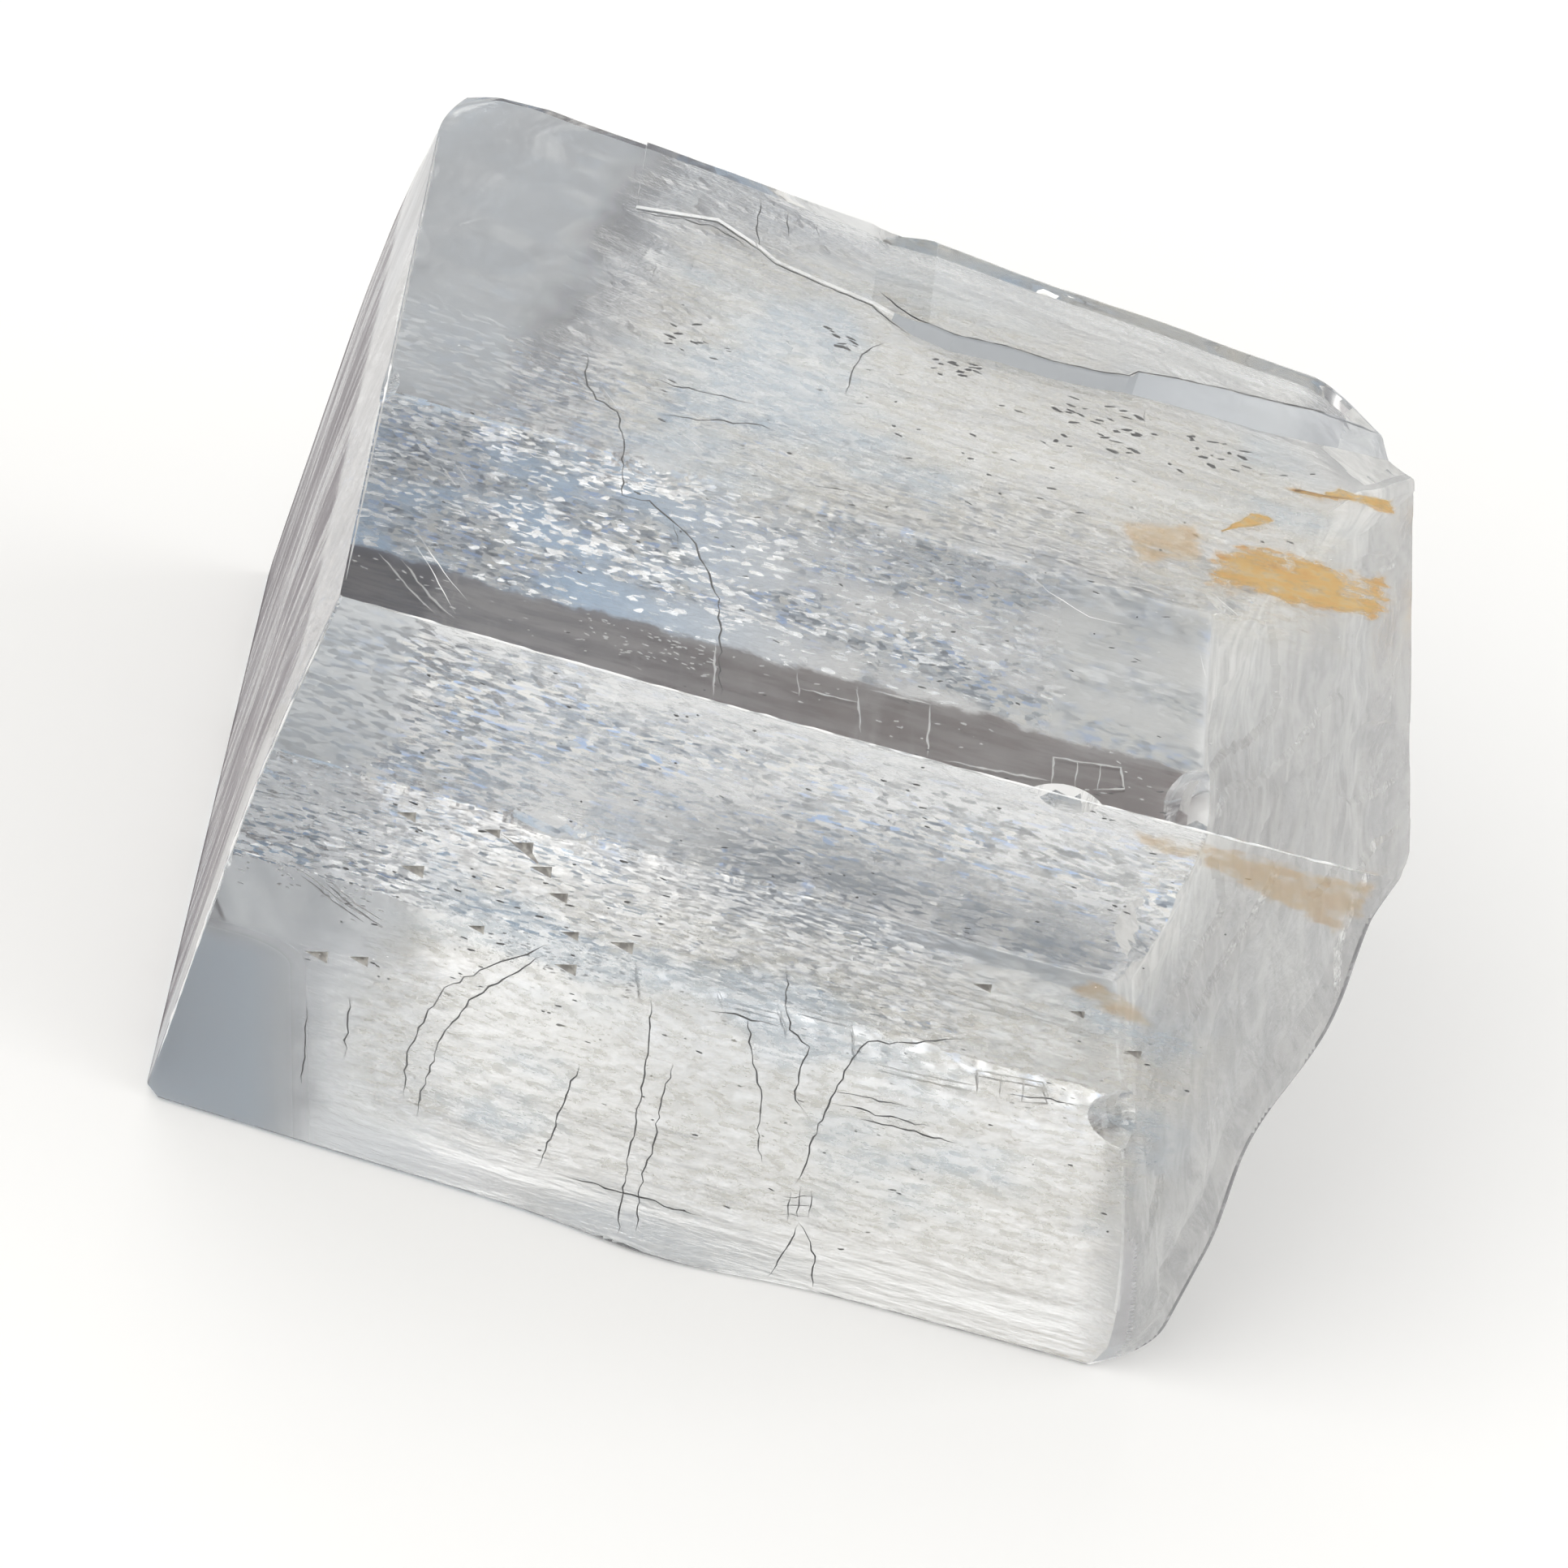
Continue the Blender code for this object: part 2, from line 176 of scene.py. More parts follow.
# White scratches on the top: u and v of their points
SCRATCHES = [
    [(28.3, 11.8), (29.8, 10.7), (31.6, 9.9), (33.2, 10.0)],
    [(23.6, 8.7), (25.5, 8.4), (27.5, 8.0)],
    [(36.8, 13.1), (38.2, 12.0)],
    [(36.4, 9.5), (36.7, 8.2)],
    [(2.2, 4.5), (3.4, 3.0), (4.9, 0.7)],
    [(2.5, 4.8), (4.1, 2.8), (5.3, 1.6)],
    [(3.0, 8.9), (4.1, 7.6)],
    [(3.5, 9.3), (4.6, 8.0)],
    [(9.4, 15.9), (10.4, 14.7)],
    [(12.6, 14.0), (13.6, 13.4)],
    [(12.9, 14.6), (14.3, 13.6)],
]
SCRATCH_RADIUS = 0.02

# Half the width of the painted highlights along the edges, and of the painted glints in the base
HIGHLIGHT_RADIUS = 0.05

# Painted glints in the clear band of the base, drawn as bright rods: u and v of their points
BAND_GLINTS = [
    [(27.0, 21.8), (29.8, 21.9)], [(30.2, 22.8), (33.2, 22.9)], [(29.6, 22.8), (30.0, 20.2)],
    [(33.0, 22.9), (33.1, 19.9)], [(26.8, 22.7), (27.0, 21.3)],
    [(38.8, 20.2), (38.8, 21.8), (41.9, 22.3), (42.1, 21.1), (40.7, 20.6)],
    [(39.9, 20.4), (39.9, 22.0)], [(40.9, 20.6), (41.0, 22.2)], [(33.8, 19.9), (38.7, 20.4)],
    [(44.2, 19.8), (44.4, 21.6)], [(7.9, 22.9), (9.5, 21.2), (10.8, 20.4)],
    [(6.8, 22.9), (8.4, 21.4), (9.9, 20.3)], [(22.9, 23.0), (23.1, 20.0)],
]

# Groups of flecks: face, first and last of each coordinate, depths, how many, size, finish
FLECK_GROUPS = [
    ("top", (29.5, 33.6), (19.5, 23.0), (0.15, 0.5), 26, 0.3, "dark"),
    ("top", (35.5, 38.1), (20.6, 22.6), (0.15, 0.5), 14, 0.3, "dark"),
    ("top", (11.8, 13.8), (19.6, 21.8), (0.15, 0.5), 12, 0.25, "dark"),
    ("top", (18.7, 20.4), (22.2, 23.2), (0.15, 0.5), 8, 0.25, "dark"),
    ("top", (23.7, 26.1), (22.2, 23.2), (0.15, 0.5), 14, 0.25, "dark"),
    ("top", (12.0, 42.0), (15.0, 23.0), (0.15, 1.5), 60, 0.2, "dark"),
    ("top", (3.0, 36.0), (3.0, 14.0), (0.3, 3.0), 60, 0.16, "dark"),
    ("front", (5.0, 40.0), (1.0, 9.0), (0.3, 3.0), 70, 0.16, "dark"),
    ("front", (4.0, 18.0), (9.0, 20.0), (0.2, 1.5), 50, 0.2, "dark"),
    ("front", (10.0, 42.0), (12.0, 28.0), (0.2, 2.0), 60, 0.16, "dark"),
    # The pale flecks in the clear band of the base are painted glints.
    ("base", (3.0, 44.0), (20.2, 22.6), (0.2, 0.6), 70, 0.14, "pale"),
    ("base", (16.0, 23.0), (20.8, 22.6), (0.2, 0.6), 60, 0.16, "pale"),
    ("front", (1.5, 8.0), (7.0, 15.0), (0.0, 0.02), 40, 0.12, "pale"),
    ("front", (4.0, 42.0), (1.0, 27.0), (0.0, 0.02), 70, 0.06, "pale"),
    ("top", (2.0, 43.0), (1.0, 22.0), (0.0, 0.02), 70, 0.06, "pale"),
]

# Milky veils: softness of the outline, and the outline as u and v under the top or u and w
# behind the front
TOP_VEILS = [
    (2.2, [(12.0, 30.0), (9.5, 22.0), (8.0, 14.0), (16.0, 10.5), (30.0, 13.0), (38.0, 10.5),
           (43.5, 12.0), (44.0, 21.5), (40.0, 25.0), (31.0, 27.5), (20.0, 29.5)]),
]
FRONT_VEILS = [
    (2.2, [(7.0, 12.0), (16.0, 10.0), (26.0, 10.5), (36.0, 9.0), (43.0, 10.0), (43.5, 20.0),
           (42.0, 28.0), (24.0, 28.5), (7.5, 28.3), (5.5, 22.0)]),
]
VEIL_DEPTH = 1.2

# Rust films in cleavage cracks: softness of the outline, and the outline as u and v under the
# top or u and w behind the front
TOP_STAINS = [
    (0.35, [(39.8, 20.9), (40.6, 21.2), (41.5, 21.3), (42.4, 21.9), (43.9, 22.1), (44.9, 22.0),
            (45.0, 20.9), (44.2, 20.9), (43.0, 20.9), (42.1, 20.8), (41.1, 20.6), (40.3, 20.7)]),
    (0.2, [(36.8, 17.2), (37.6, 17.8), (38.5, 19.0), (39.3, 19.1), (39.8, 18.8), (39.3, 18.4),
           (38.0, 17.8), (37.3, 17.2)]),
    (0.9, [(36.3, 15.2), (37.2, 16.5), (39.3, 17.5), (41.1, 17.3), (42.9, 17.2), (44.9, 17.8),
           (45.0, 15.1), (44.0, 14.1), (42.2, 14.1), (39.7, 13.7), (37.6, 13.7), (36.6, 14.0)]),
]
FAINT_TOP_STAINS = [
    (0.8, [(32.4, 16.4), (36.6, 18.0), (36.9, 15.0), (33.4, 13.8)]),
]
FRONT_STAINS = [
    (0.5, [(34.2, 1.0), (37.0, 0.9), (40.0, 0.9), (42.7, 0.8), (44.6, 0.7), (44.8, 2.7),
           (44.0, 4.0), (42.0, 3.4), (39.7, 2.8), (37.0, 2.3), (34.8, 2.1)]),
    (0.6, [(35.1, 8.6), (37.2, 9.1), (39.2, 10.3), (39.0, 11.5), (37.0, 10.8), (35.1, 10.1)]),
]
STAIN_DEPTH = 0.7
FILM_THICKNESS = 0.02

# The fine surface of the crystal: its grid, the turn below which facets are merged, its worn
# edges, and where the clean band of the base starts and ends along v
GRID_CUTS = 100
FLAT_LIMIT = math.radians(0.35)
WORN_EDGE = 0.14
RIM_WIDTH = 0.13
BOX_MARGIN = 0.002
BASE_CLEAR_FROM = 19.6
BASE_CLEAR_TO = 23.2

# How a facet's face is told: how far from the top, the base and the right end it can lie and
# still be theirs, and how far up its normal points when it lies level
TOP_REACH = 0.3
BASE_REACH = 0.7
END_REACH = 2.5
LEVEL = 0.97

SEED = 7

# The floor, a little below the crystal
FLOOR_GAP = 0.15
FLOOR_SIZE = 4.0
FLOOR_COLOUR = (0.93, 0.93, 0.93, 1.0)

# The room's light, and each softbox: name, azimuth, elevation, distance and size in metres, power
# in watts, and colour
ROOM_COLOUR = (1.0, 0.99, 0.965, 1.0)
ROOM_STRENGTH = 0.66
SOFTBOXES = [
    ("front_left_softbox", -55.0, 55.0, 1.0, 1.2, 4.7, (1.0, 0.985, 0.95)),
    ("rear_softbox", -170.0, 50.0, 1.0, 0.6, 1.1, (1.0, 1.0, 1.0)),
    ("right_softbox", 100.0, 30.0, 1.0, 0.7, 3.2, (1.0, 1.0, 1.0)),
]


def lattice_matrix():
    """The rhomb's three edge directions as columns, in metres, with its corner in place."""
    cosine = math.cos(FACE_ANGLE)
    sine = math.sin(FACE_ANGLE)
    steep_y = (cosine - cosine * cosine) / sine
    steep_z = -math.sqrt(1.0 - cosine * cosine - steep_y * steep_y)
    matrix = Matrix.Identity(4)
    matrix.col[0] = (MM, 0.0, 0.0, 0.0)
    matrix.col[1] = (cosine * MM, sine * MM, 0.0, 0.0)
    matrix.col[2] = (cosine * MM, steep_y * MM, steep_z * MM, 0.0)
    matrix.col[3] = (CORNER_X * MM, CORNER_Y * MM, -steep_z * STEEP_EDGE * MM, 1.0)
    return matrix


LATTICE = lattice_matrix()
INTO_LATTICE = LATTICE.inverted()


def ripple(a, b, size, seed):
    """Smooth noise from -1 to 1 that changes over the given size in millimetres."""
    return noise.noise(Vector((a / size, b / size, seed)))


def add_camera():
    data = bpy.data.cameras.new("camera")
    data.lens = CAMERA_LENS
    data.sensor_width = SENSOR_WIDTH
    data.clip_start = 0.005
    camera = bpy.data.objects.new("camera", data)
    bpy.context.scene.collection.objects.link(camera)
    tilt = Matrix.Rotation(math.radians(90.0 - CAMERA_ELEVATION), 4, "X")
    turn = Matrix.Rotation(math.radians(CAMERA_AZIMUTH), 4, "Z")
    roll = Matrix.Rotation(math.radians(CAMERA_ROLL), 4, "Z")
    place = Matrix.Translation(Vector(CAMERA_PLACE) * MM)
    camera.matrix_world = place @ turn @ tilt @ roll
    bpy.context.scene.camera = camera


def rise(value, low, high):
    """Rises smoothly from 0 at low to 1 at high."""
    part = min(max((value - low) / (high - low), 0.0), 1.0)
    return part * part * (3.0 - 2.0 * part)


def back_face(u, w):
    """The back face: upright cleavage below, broken forwards towards the top right."""
    height = 1.0 - w / STEEP_EDGE
    sharp = min(max(u - STRIP_HIGH_START + 1.0, 0.0), 1.0)
    soft = rise(u, 12.0, 26.0)
    inset = STRIP_INSET * (sharp + (soft - sharp) * rise(w, 0.2, 2.0))
    lean = (inset + BACK_TAPER * u) * height ** 0.7
    worn = CORNER_WEAR * max(1.0 - u / 4.0, 0.0) ** 2 * math.exp(-w / 6.0)
    slope = CORNER_LOSS * rise(u, CORNER_START, LONG_EDGE + 0.5)
    slope *= 1.0 - rise(w, 0.0, 3.0 + max(u - CORNER_START, 0.0) * 1.6)
    return DEPTH_EDGE - lean - worn - slope + BACK_WAVE * ripple(u, w * 2.0, 6.0, 3.1)


def right_end(v, w):
    """The right end: an uneven break with a slow wave and a rough middle."""
    swell = END_SWELL * min(v / 2.0, 1.0)
    turn = 2.0 * math.pi * (min(w, 22.0) - 5.5) / END_WAVE_LENGTH
    wave = END_WAVE * math.sin(turn) * min(w / 3.0, 1.0)
    inside = min(v, DEPTH_EDGE - v, w, STEEP_EDGE - w) / 6.0
    rough = END_ROUGHNESS * ripple(v, w, 4.5, 8.7) * min(max(inside, 0.0), 1.0)
    worn = FOOT_WEAR * max((w - 26.0) / 3.3, 0.0) ** 2 * math.exp(-v / 8.0)
    return LONG_EDGE + swell + wave + rough - worn


def left_end(v, w):
    """The left end: flat, with a slight bulge in its lower part."""
    bulge = LEFT_BULGE * math.sin(0.5 * math.pi * min(w / 15.0, 1.0))
    worn = CORNER_WEAR * max(1.0 - (DEPTH_EDGE - v) / 3.0, 0.0) ** 2 * math.exp(-w / 3.0)
    return worn - bulge * (1.0 - 0.4 * v / DEPTH_EDGE)


def front_face(u, w):
    """The front: a very slight bulge, with a fuller foot in the middle."""
    foot = math.exp(-((u - FRONT_FOOT_MIDDLE) / 5.0) ** 2) * max(w / STEEP_EDGE, 0.0) ** 6
    return -FRONT_BULGE * math.sin(math.pi * u / LONG_EDGE) - FRONT_FOOT_SWELL * foot


def terraces(along, across, seed):
    """Depth of the long, low cleavage steps on a rough face, in millimetres."""
    broad = math.floor((ripple(along, across * 6.0, 16.0, seed) + 1.0) * 3.0) / 3.0 * 0.2
    fine = math.floor((ripple(along, across * 5.0, 6.0, seed + 5.0) + 1.0) * 3.0) / 3.0 * 0.09
    hackle = 0.02 * (ripple(along, across * 2.0, 0.9, seed + 9.0) + 1.0)
    return broad + fine + hackle


def back_relief(u, w):
    """How rough the back is: its left part is one clean cleavage."""
    edge = min(w, STEEP_EDGE - w, LONG_EDGE - u) / 2.0
    wander = 1.5 * ripple(w, u, 5.0, 62.0)
    return rise(u + wander, 8.5, 11.5) * min(max(edge, 0.0), 1.0)


def base_relief(u, v):
    """How rough the base is: broken at the back, clean in a band, softly stepped in front."""
    edge = min(u, LONG_EDGE - u, v, DEPTH_EDGE - v) / 2.0
    broken = rise(v, BASE_CLEAR_TO, BASE_CLEAR_TO + 2.0)
    stepped = 0.35 * rise(BASE_CLEAR_FROM - v, 0.0, 3.0) * rise(u, 5.0, 9.0)
    return (broken + stepped) * min(max(edge, 0.0), 1.0)


def end_relief(v, w):
    """Depth of the shell-like steps of the break on the right end, in millimetres."""
    edge = min(v - 0.5, DEPTH_EDGE - 1.0 - v, w - 0.5, STEEP_EDGE - 1.0 - w) / 3.0
    depth = END_STEPS * (ripple(v, w * 0.6, 7.0, 41.0) + 1.0)
    steps = math.floor(depth * 4.0) / 4.0
    fine = 0.12 * (ripple(v * 0.7, w, 1.6, 47.0) + 1.0)
    return (steps + 0.35 * depth + fine) * min(max(edge, 0.0), 1.0)


def block_point(i, j, k):
    """Where a point of the unit cube lies on the real block, as u, v and w."""
    u_plain = i * LONG_EDGE
    v_plain = j * DEPTH_EDGE
    w_plain = k * STEEP_EDGE
    left = left_end(v_plain, w_plain)
    right = right_end(v_plain, w_plain)
    front = front_face(u_plain, w_plain)
    back = back_face(u_plain, w_plain)
    base = STEEP_EDGE
    if i == 1.0:
        right -= end_relief(v_plain, w_plain)
    if j == 1.0:
        back -= terraces(u_plain, w_plain, 21.0) * back_relief(u_plain, w_plain)
    if k == 1.0:
        base -= terraces(u_plain, v_plain, 33.0) * base_relief(u_plain, v_plain)
    u = left + (right - left) * i
    v = front + (back - front) * j
    w = -STRIP_RAISE + (base + STRIP_RAISE) * k
    return Vector((u, v, w))


def select_only(thing):
    bpy.ops.object.select_all(action="DESELECT")
    thing.select_set(True)
    bpy.context.view_layer.objects.active = thing


def make_block():
    """The rhomb as a gridded cube, with its broken faces waved and its flat faces merged."""
    bpy.ops.object.select_all(action="DESELECT")
    bpy.ops.mesh.primitive_cube_add(size=1.0)
    block = bpy.context.object
    block.name = "calcite"
    bpy.ops.object.mode_set(mode="EDIT")
    bpy.ops.transform.translate(value=(0.5, 0.5, 0.5))
    bpy.ops.mesh.subdivide(number_cuts=GRID_CUTS)
    bpy.ops.object.mode_set(mode="OBJECT")
    for vert in block.data.vertices:
        vert.co = LATTICE @ block_point(*[round(value, 6) for value in vert.co])
    bpy.ops.object.mode_set(mode="EDIT")
    bpy.ops.mesh.select_all(action="SELECT")
    bpy.ops.mesh.dissolve_limited(angle_limit=FLAT_LIMIT)
    bpy.ops.mesh.select_all(action="SELECT")
    bpy.ops.mesh.normals_make_consistent(inside=False)
    bpy.ops.object.mode_set(mode="OBJECT")
    return block


def apply_modifier(thing, modifier):
    select_only(thing)
    bpy.ops.object.modifier_apply(modifier=modifier.name)


def wear_edges(block):
    bevel = block.modifiers.new("worn edges", "BEVEL")
    bevel.width = WORN_EDGE * MM
    bevel.segments = 2
    bevel.limit_method = "ANGLE"
    bevel.angle_limit = math.radians(50.0)
    apply_modifier(block, bevel)
    apply_modifier(block, block.modifiers.new("flat facets", "TRIANGULATE"))


def cut(block, cutter):
    boolean = block.modifiers.new(cutter.name, "BOOLEAN")
    boolean.operation = "DIFFERENCE"
    boolean.solver = "EXACT"
    boolean.use_self = True
    boolean.object = cutter
    apply_modifier(block, boolean)
    bpy.data.objects.remove(cutter)
    bpy.ops.object.mode_set(mode="EDIT")
    bpy.ops.mesh.select_all(action="SELECT")
    bpy.ops.mesh.remove_doubles(threshold=0.000002)
    bpy.ops.object.mode_set(mode="OBJECT")


def joined(things, name):
    """Join several meshes into one named object."""
    bpy.ops.object.select_all(action="DESELECT")
    for thing in things:
        thing.select_set(True)
    bpy.context.view_layer.objects.active = things[0]
    if len(things) > 1:
        bpy.ops.object.join()
    things[0].name = name
    return things[0]


def sheared_box(u_range, v_range, w_range):
    """A box whose sides follow the three cleavages."""
    bpy.ops.object.select_all(action="DESELECT")
    bpy.ops.mesh.primitive_cube_add(size=1.0)
    box = bpy.context.object
    low = Vector((u_range[0], v_range[0], w_range[0]))
    high = Vector((u_range[1], v_range[1], w_range[1]))
    place = Matrix.Translation((low + high) / 2.0) @ Matrix.Diagonal((*(high - low), 1.0))
    box.data.transform(LATTICE @ place)
    box.data.flip_normals()
    return box


def main_top():
    """Everything above the main top face that lies in front of the strip's ledge."""
    far_left = -CUT_MARGIN
    far_right = LONG_EDGE + CUT_MARGIN
    far_back = DEPTH_EDGE + CUT_MARGIN
    outline = [(far_left, -CUT_MARGIN, 0.0), (far_right, -CUT_MARGIN, 0.0)]
    outline += [(far_right, STRIP_LEDGE[-1][1], 0.0), *reversed(STRIP_LEDGE)]
    outline += [(STRIP_LEDGE[0][0], far_back, 0.0), (far_left, far_back, 0.0)]
    curve = bpy.data.curves.new("main_top", "CURVE")
    curve.dimensions = "2D"
    curve.fill_mode = "BOTH"
    curve.extrude = 0.5
    spline = curve.splines.new("POLY")
    spline.points.add(len(outline) - 1)
    spline.use_cyclic_u = True
    for point, (u, v, _lean) in zip(spline.points, outline):
        point.co = (u, v, 0.0, 1.0)
    cutter = bpy.data.objects.new("main_top", curve)
    bpy.context.scene.collection.objects.link(cutter)
    select_only(cutter)
    bpy.ops.object.convert(target="MESH")
    cutter = bpy.context.object
    bpy.ops.object.mode_set(mode="EDIT")
    bpy.ops.mesh.select_all(action="SELECT")
    bpy.ops.mesh.remove_doubles(threshold=0.001)
    bpy.ops.mesh.normals_make_consistent(inside=False)
    bpy.ops.object.mode_set(mode="OBJECT")
    overshoot = (STRIP_RAISE + LEDGE_MARGIN) / STRIP_RAISE
    for vert in cutter.data.vertices:
        u, v, upper = vert.co
        if upper > 0.0:
            lean = min(outline, key=lambda point: math.hypot(point[0] - u, point[1] - v))[2]
            vert.co = LATTICE @ Vector((u, v + lean * overshoot, -STRIP_RAISE * overshoot))
        else:
            vert.co = LATTICE @ Vector((u, v, 0.0))
    return cutter


def low_strip():
    """What is missing above the strip's low left part, with a slope up to its high part."""
    box = sheared_box((-CUT_MARGIN, STRIP_HIGH_START), (20.0, DEPTH_EDGE + CUT_MARGIN),
                      (-STRIP_RAISE - CUT_MARGIN, -STRIP_LOW_RAISE))
    for vert in box.data.vertices:
        u, _v, w = INTO_LATTICE @ vert.co
        if u > 0.0 and w < -1.0:
            vert.co += LATTICE.col[0].to_3d() * STRIP_SLOPE
    return box


def edge_chips():
    chips = []
    for u, v, w, radius in EDGE_CHIPS:
        bpy.ops.mesh.primitive_ico_sphere_add(subdivisions=4, radius=radius * MM,
                                              location=LATTICE @ Vector((u, v, w)))
        bpy.ops.object.transform_apply(location=True, rotation=False, scale=False)
        chips.append(bpy.context.object)
    return joined(chips, "edge_chips")


def front_pits():
    """Three-sided pits that all point the same way, as etching leaves them."""
    along = LATTICE.col[0].to_3d().normalized()
    inwards = LATTICE.col[2].to_3d().cross(LATTICE.col[0].to_3d()).normalized()
    if inwards.dot(LATTICE.col[1].to_3d()) < 0.0:
        inwards = -inwards
    downwards = along.cross(inwards)
    turn = Matrix((-downwards, -along, -inwards)).transposed().to_4x4()
    stretch = Matrix.Diagonal((0.8, 1.55, 1.0, 1.0))
    reach = PIT_DEPTH * MM * 2.0
    pits = []
    for u, w, width in FRONT_PITS:
        tip = LATTICE @ Vector((u, front_face(u, w), w)) + inwards * PIT_DEPTH * MM
        bpy.ops.mesh.primitive_cone_add(vertices=3, radius1=0.0, radius2=width * MM, depth=reach)
        pit = bpy.context.object
        pit.data.transform(Matrix.Translation(tip - inwards * reach / 2.0) @ turn @ stretch)
        pit.data.flip_normals()
        pits.append(pit)
    return joined(pits, "front_pits")


def keep_inside(block):
    """Flatten the few points that reach past the solid's own box."""
    low, high = cad_box
    for vert in block.data.vertices:
        for axis in range(3):
            value = max(vert.co[axis], low[axis] + BOX_MARGIN * MM)
            vert.co[axis] = min(value, high[axis] - BOX_MARGIN * MM)


def make_crystal():
    block = make_block()
    wear_edges(block)
    cutters = [main_top(), low_strip(), edge_chips(), front_pits()]
    cut(block, joined(cutters, "broken_away"))
    keep_inside(block)
    return block


class Field:
    """A value that changes over a surface: a node's socket that can be summed and scaled."""

    def __init__(self, finish, socket):
        self.finish = finish
        self.socket = socket

    def math(self, operation, first, second=None):
        given = {0: first} if second is None else {0: first, 1: second}
        return self.finish.node("ShaderNodeMath", {"operation": operation}, given)

    def __add__(self, other):
        return self.math("ADD", self, other)

    def __radd__(self, other):
        return self.math("ADD", other, self)

    def __sub__(self, other):
        return self.math("SUBTRACT", self, other)

    def __rsub__(self, other):
        return self.math("SUBTRACT", other, self)

    def __mul__(self, other):
        return self.math("MULTIPLY", self, other)

    def __rmul__(self, other):
        return self.math("MULTIPLY", other, self)

    def moved(self, offset):
        """A vector, moved the same way along each axis."""
        return self.finish.node("ShaderNodeVectorMath", {"operation": "ADD"},
                                {0: self, 1: (offset, offset, offset)})

    def step(self, low, high):
        """Rises smoothly from 0 at low to 1 at high."""
        settings = {"interpolation_type": "SMOOTHSTEP"}
        return self.finish.node("ShaderNodeMapRange", settings,
                                {"Value": self, "From Min": low, "From Max": high})


class Finish:
    """A material while it is put together."""

    def __init__(self, name):
        self.material = bpy.data.materials.new(name)
        self.material.use_nodes = True
        self.tree = self.material.node_tree
        self.tree.nodes.clear()

    def node(self, kind, settings=None, given=None, output=0):
        made = self.tree.nodes.new(kind)
        for key, value in (settings or {}).items():
            if key == "stops":
                self.set_stops(made.color_ramp, value)
            else:
                setattr(made, key, value)
        for key, value in (given or {}).items():
            if isinstance(value, Field):
                self.tree.links.new(value.socket, made.inputs[key])
            else:
                made.inputs[key].default_value = value
        return Field(self, made.outputs[output])

    def set_stops(self, ramp, stops):
        while len(ramp.elements) < len(stops):
            ramp.elements.new(1.0)
        for element, (place, colour) in zip(ramp.elements, stops):
            element.position = place
            element.color = colour

    def lattice_fields(self):
        """The fields u, v and w in millimetres, from object coordinates."""
        place = self.node("ShaderNodeTexCoord", output="Object")
        fields = []
        for row in range(3):
            across = INTO_LATTICE[row]
            dot = self.node("ShaderNodeVectorMath", {"operation": "DOT_PRODUCT"},
                            {0: place, 1: tuple(across[:3])}, "Value")
            fields.append(dot + across[3])
        return fields

    def vector(self, x, y, z):
        return self.node("ShaderNodeCombineXYZ", None, {"X": x, "Y": y, "Z": z})

    def noise(self, vector, scale, detail=3.0, roughness=0.5, distortion=0.0):
        given = {"Vector": vector, "Scale": scale, "Detail": detail, "Roughness": roughness,
                 "Distortion": distortion}
        return self.node("ShaderNodeTexNoise", None, given)

    def blend(self, factor, first, second):
        return self.node("ShaderNodeMix", {"data_type": "RGBA"},
                         {0: factor, 6: first, 7: second}, 2)

    def bump(self, strength, distance, height):
        return self.node("ShaderNodeBump", None,
                         {"Strength": strength, "Distance": distance * MM, "Height": height})

    def plain(self, colour, roughness, alpha=1.0):
        return self.node("ShaderNodeBsdfPrincipled", None,
                         {"Base Color": colour, "Roughness": roughness, "Alpha": alpha})

    def mixed(self, amount, first, second):
        """The end of a finish that is part one shader and part another."""
        return self.finish(self.node("ShaderNodeMixShader", None,
                                     {0: amount, 1: first, 2: second}))

    def finish(self, surface):
        out = self.tree.nodes.new("ShaderNodeOutputMaterial")
        self.tree.links.new(surface.socket, out.inputs["Surface"])
        return self.material


CALCITE_IOR = 1.62
GLOSSY_BOUNCES = 12


def facet_heights(finish, place, scale, seed_shift):
    """Heights of small flat facets that each lean their own way."""
    given = {"Vector": place.moved(seed_shift), "Scale": scale}
    cell = finish.node("ShaderNodeTexVoronoi", None, given, "Position")
    lean = finish.node("ShaderNodeTexVoronoi", None, given, "Color")
    way = finish.node("ShaderNodeVectorMath", {"operation": "SUBTRACT"},
                      {0: lean, 1: (0.5, 0.5, 0.5)})
    offset = finish.node("ShaderNodeVectorMath", {"operation": "SUBTRACT"},
                         {0: place.moved(seed_shift), 1: cell})
    return finish.node("ShaderNodeVectorMath", {"operation": "DOT_PRODUCT"},
                       {0: way, 1: offset}, "Value")


def calcite_shader(finish, colour, rough, normal=None):
    given = {"Base Color": colour, "Roughness": rough, "IOR": CALCITE_IOR,
             "Transmission Weight": 1.0}
    if normal:
        given["Normal"] = normal
    return finish.node("ShaderNodeBsdfPrincipled", None, given)


def clear_cleavage():
    """The smooth top and front."""
    finish = Finish("clear_cleavage")
    u, v, w = finish.lattice_fields()
    waves = finish.noise(finish.vector(u * 0.35, v, w), 0.35, 2.0)
    bump = finish.bump(0.1, 0.1, waves)
    return finish.finish(calcite_shader(finish, (0.97, 0.975, 0.97, 1.0), 0.03, bump))


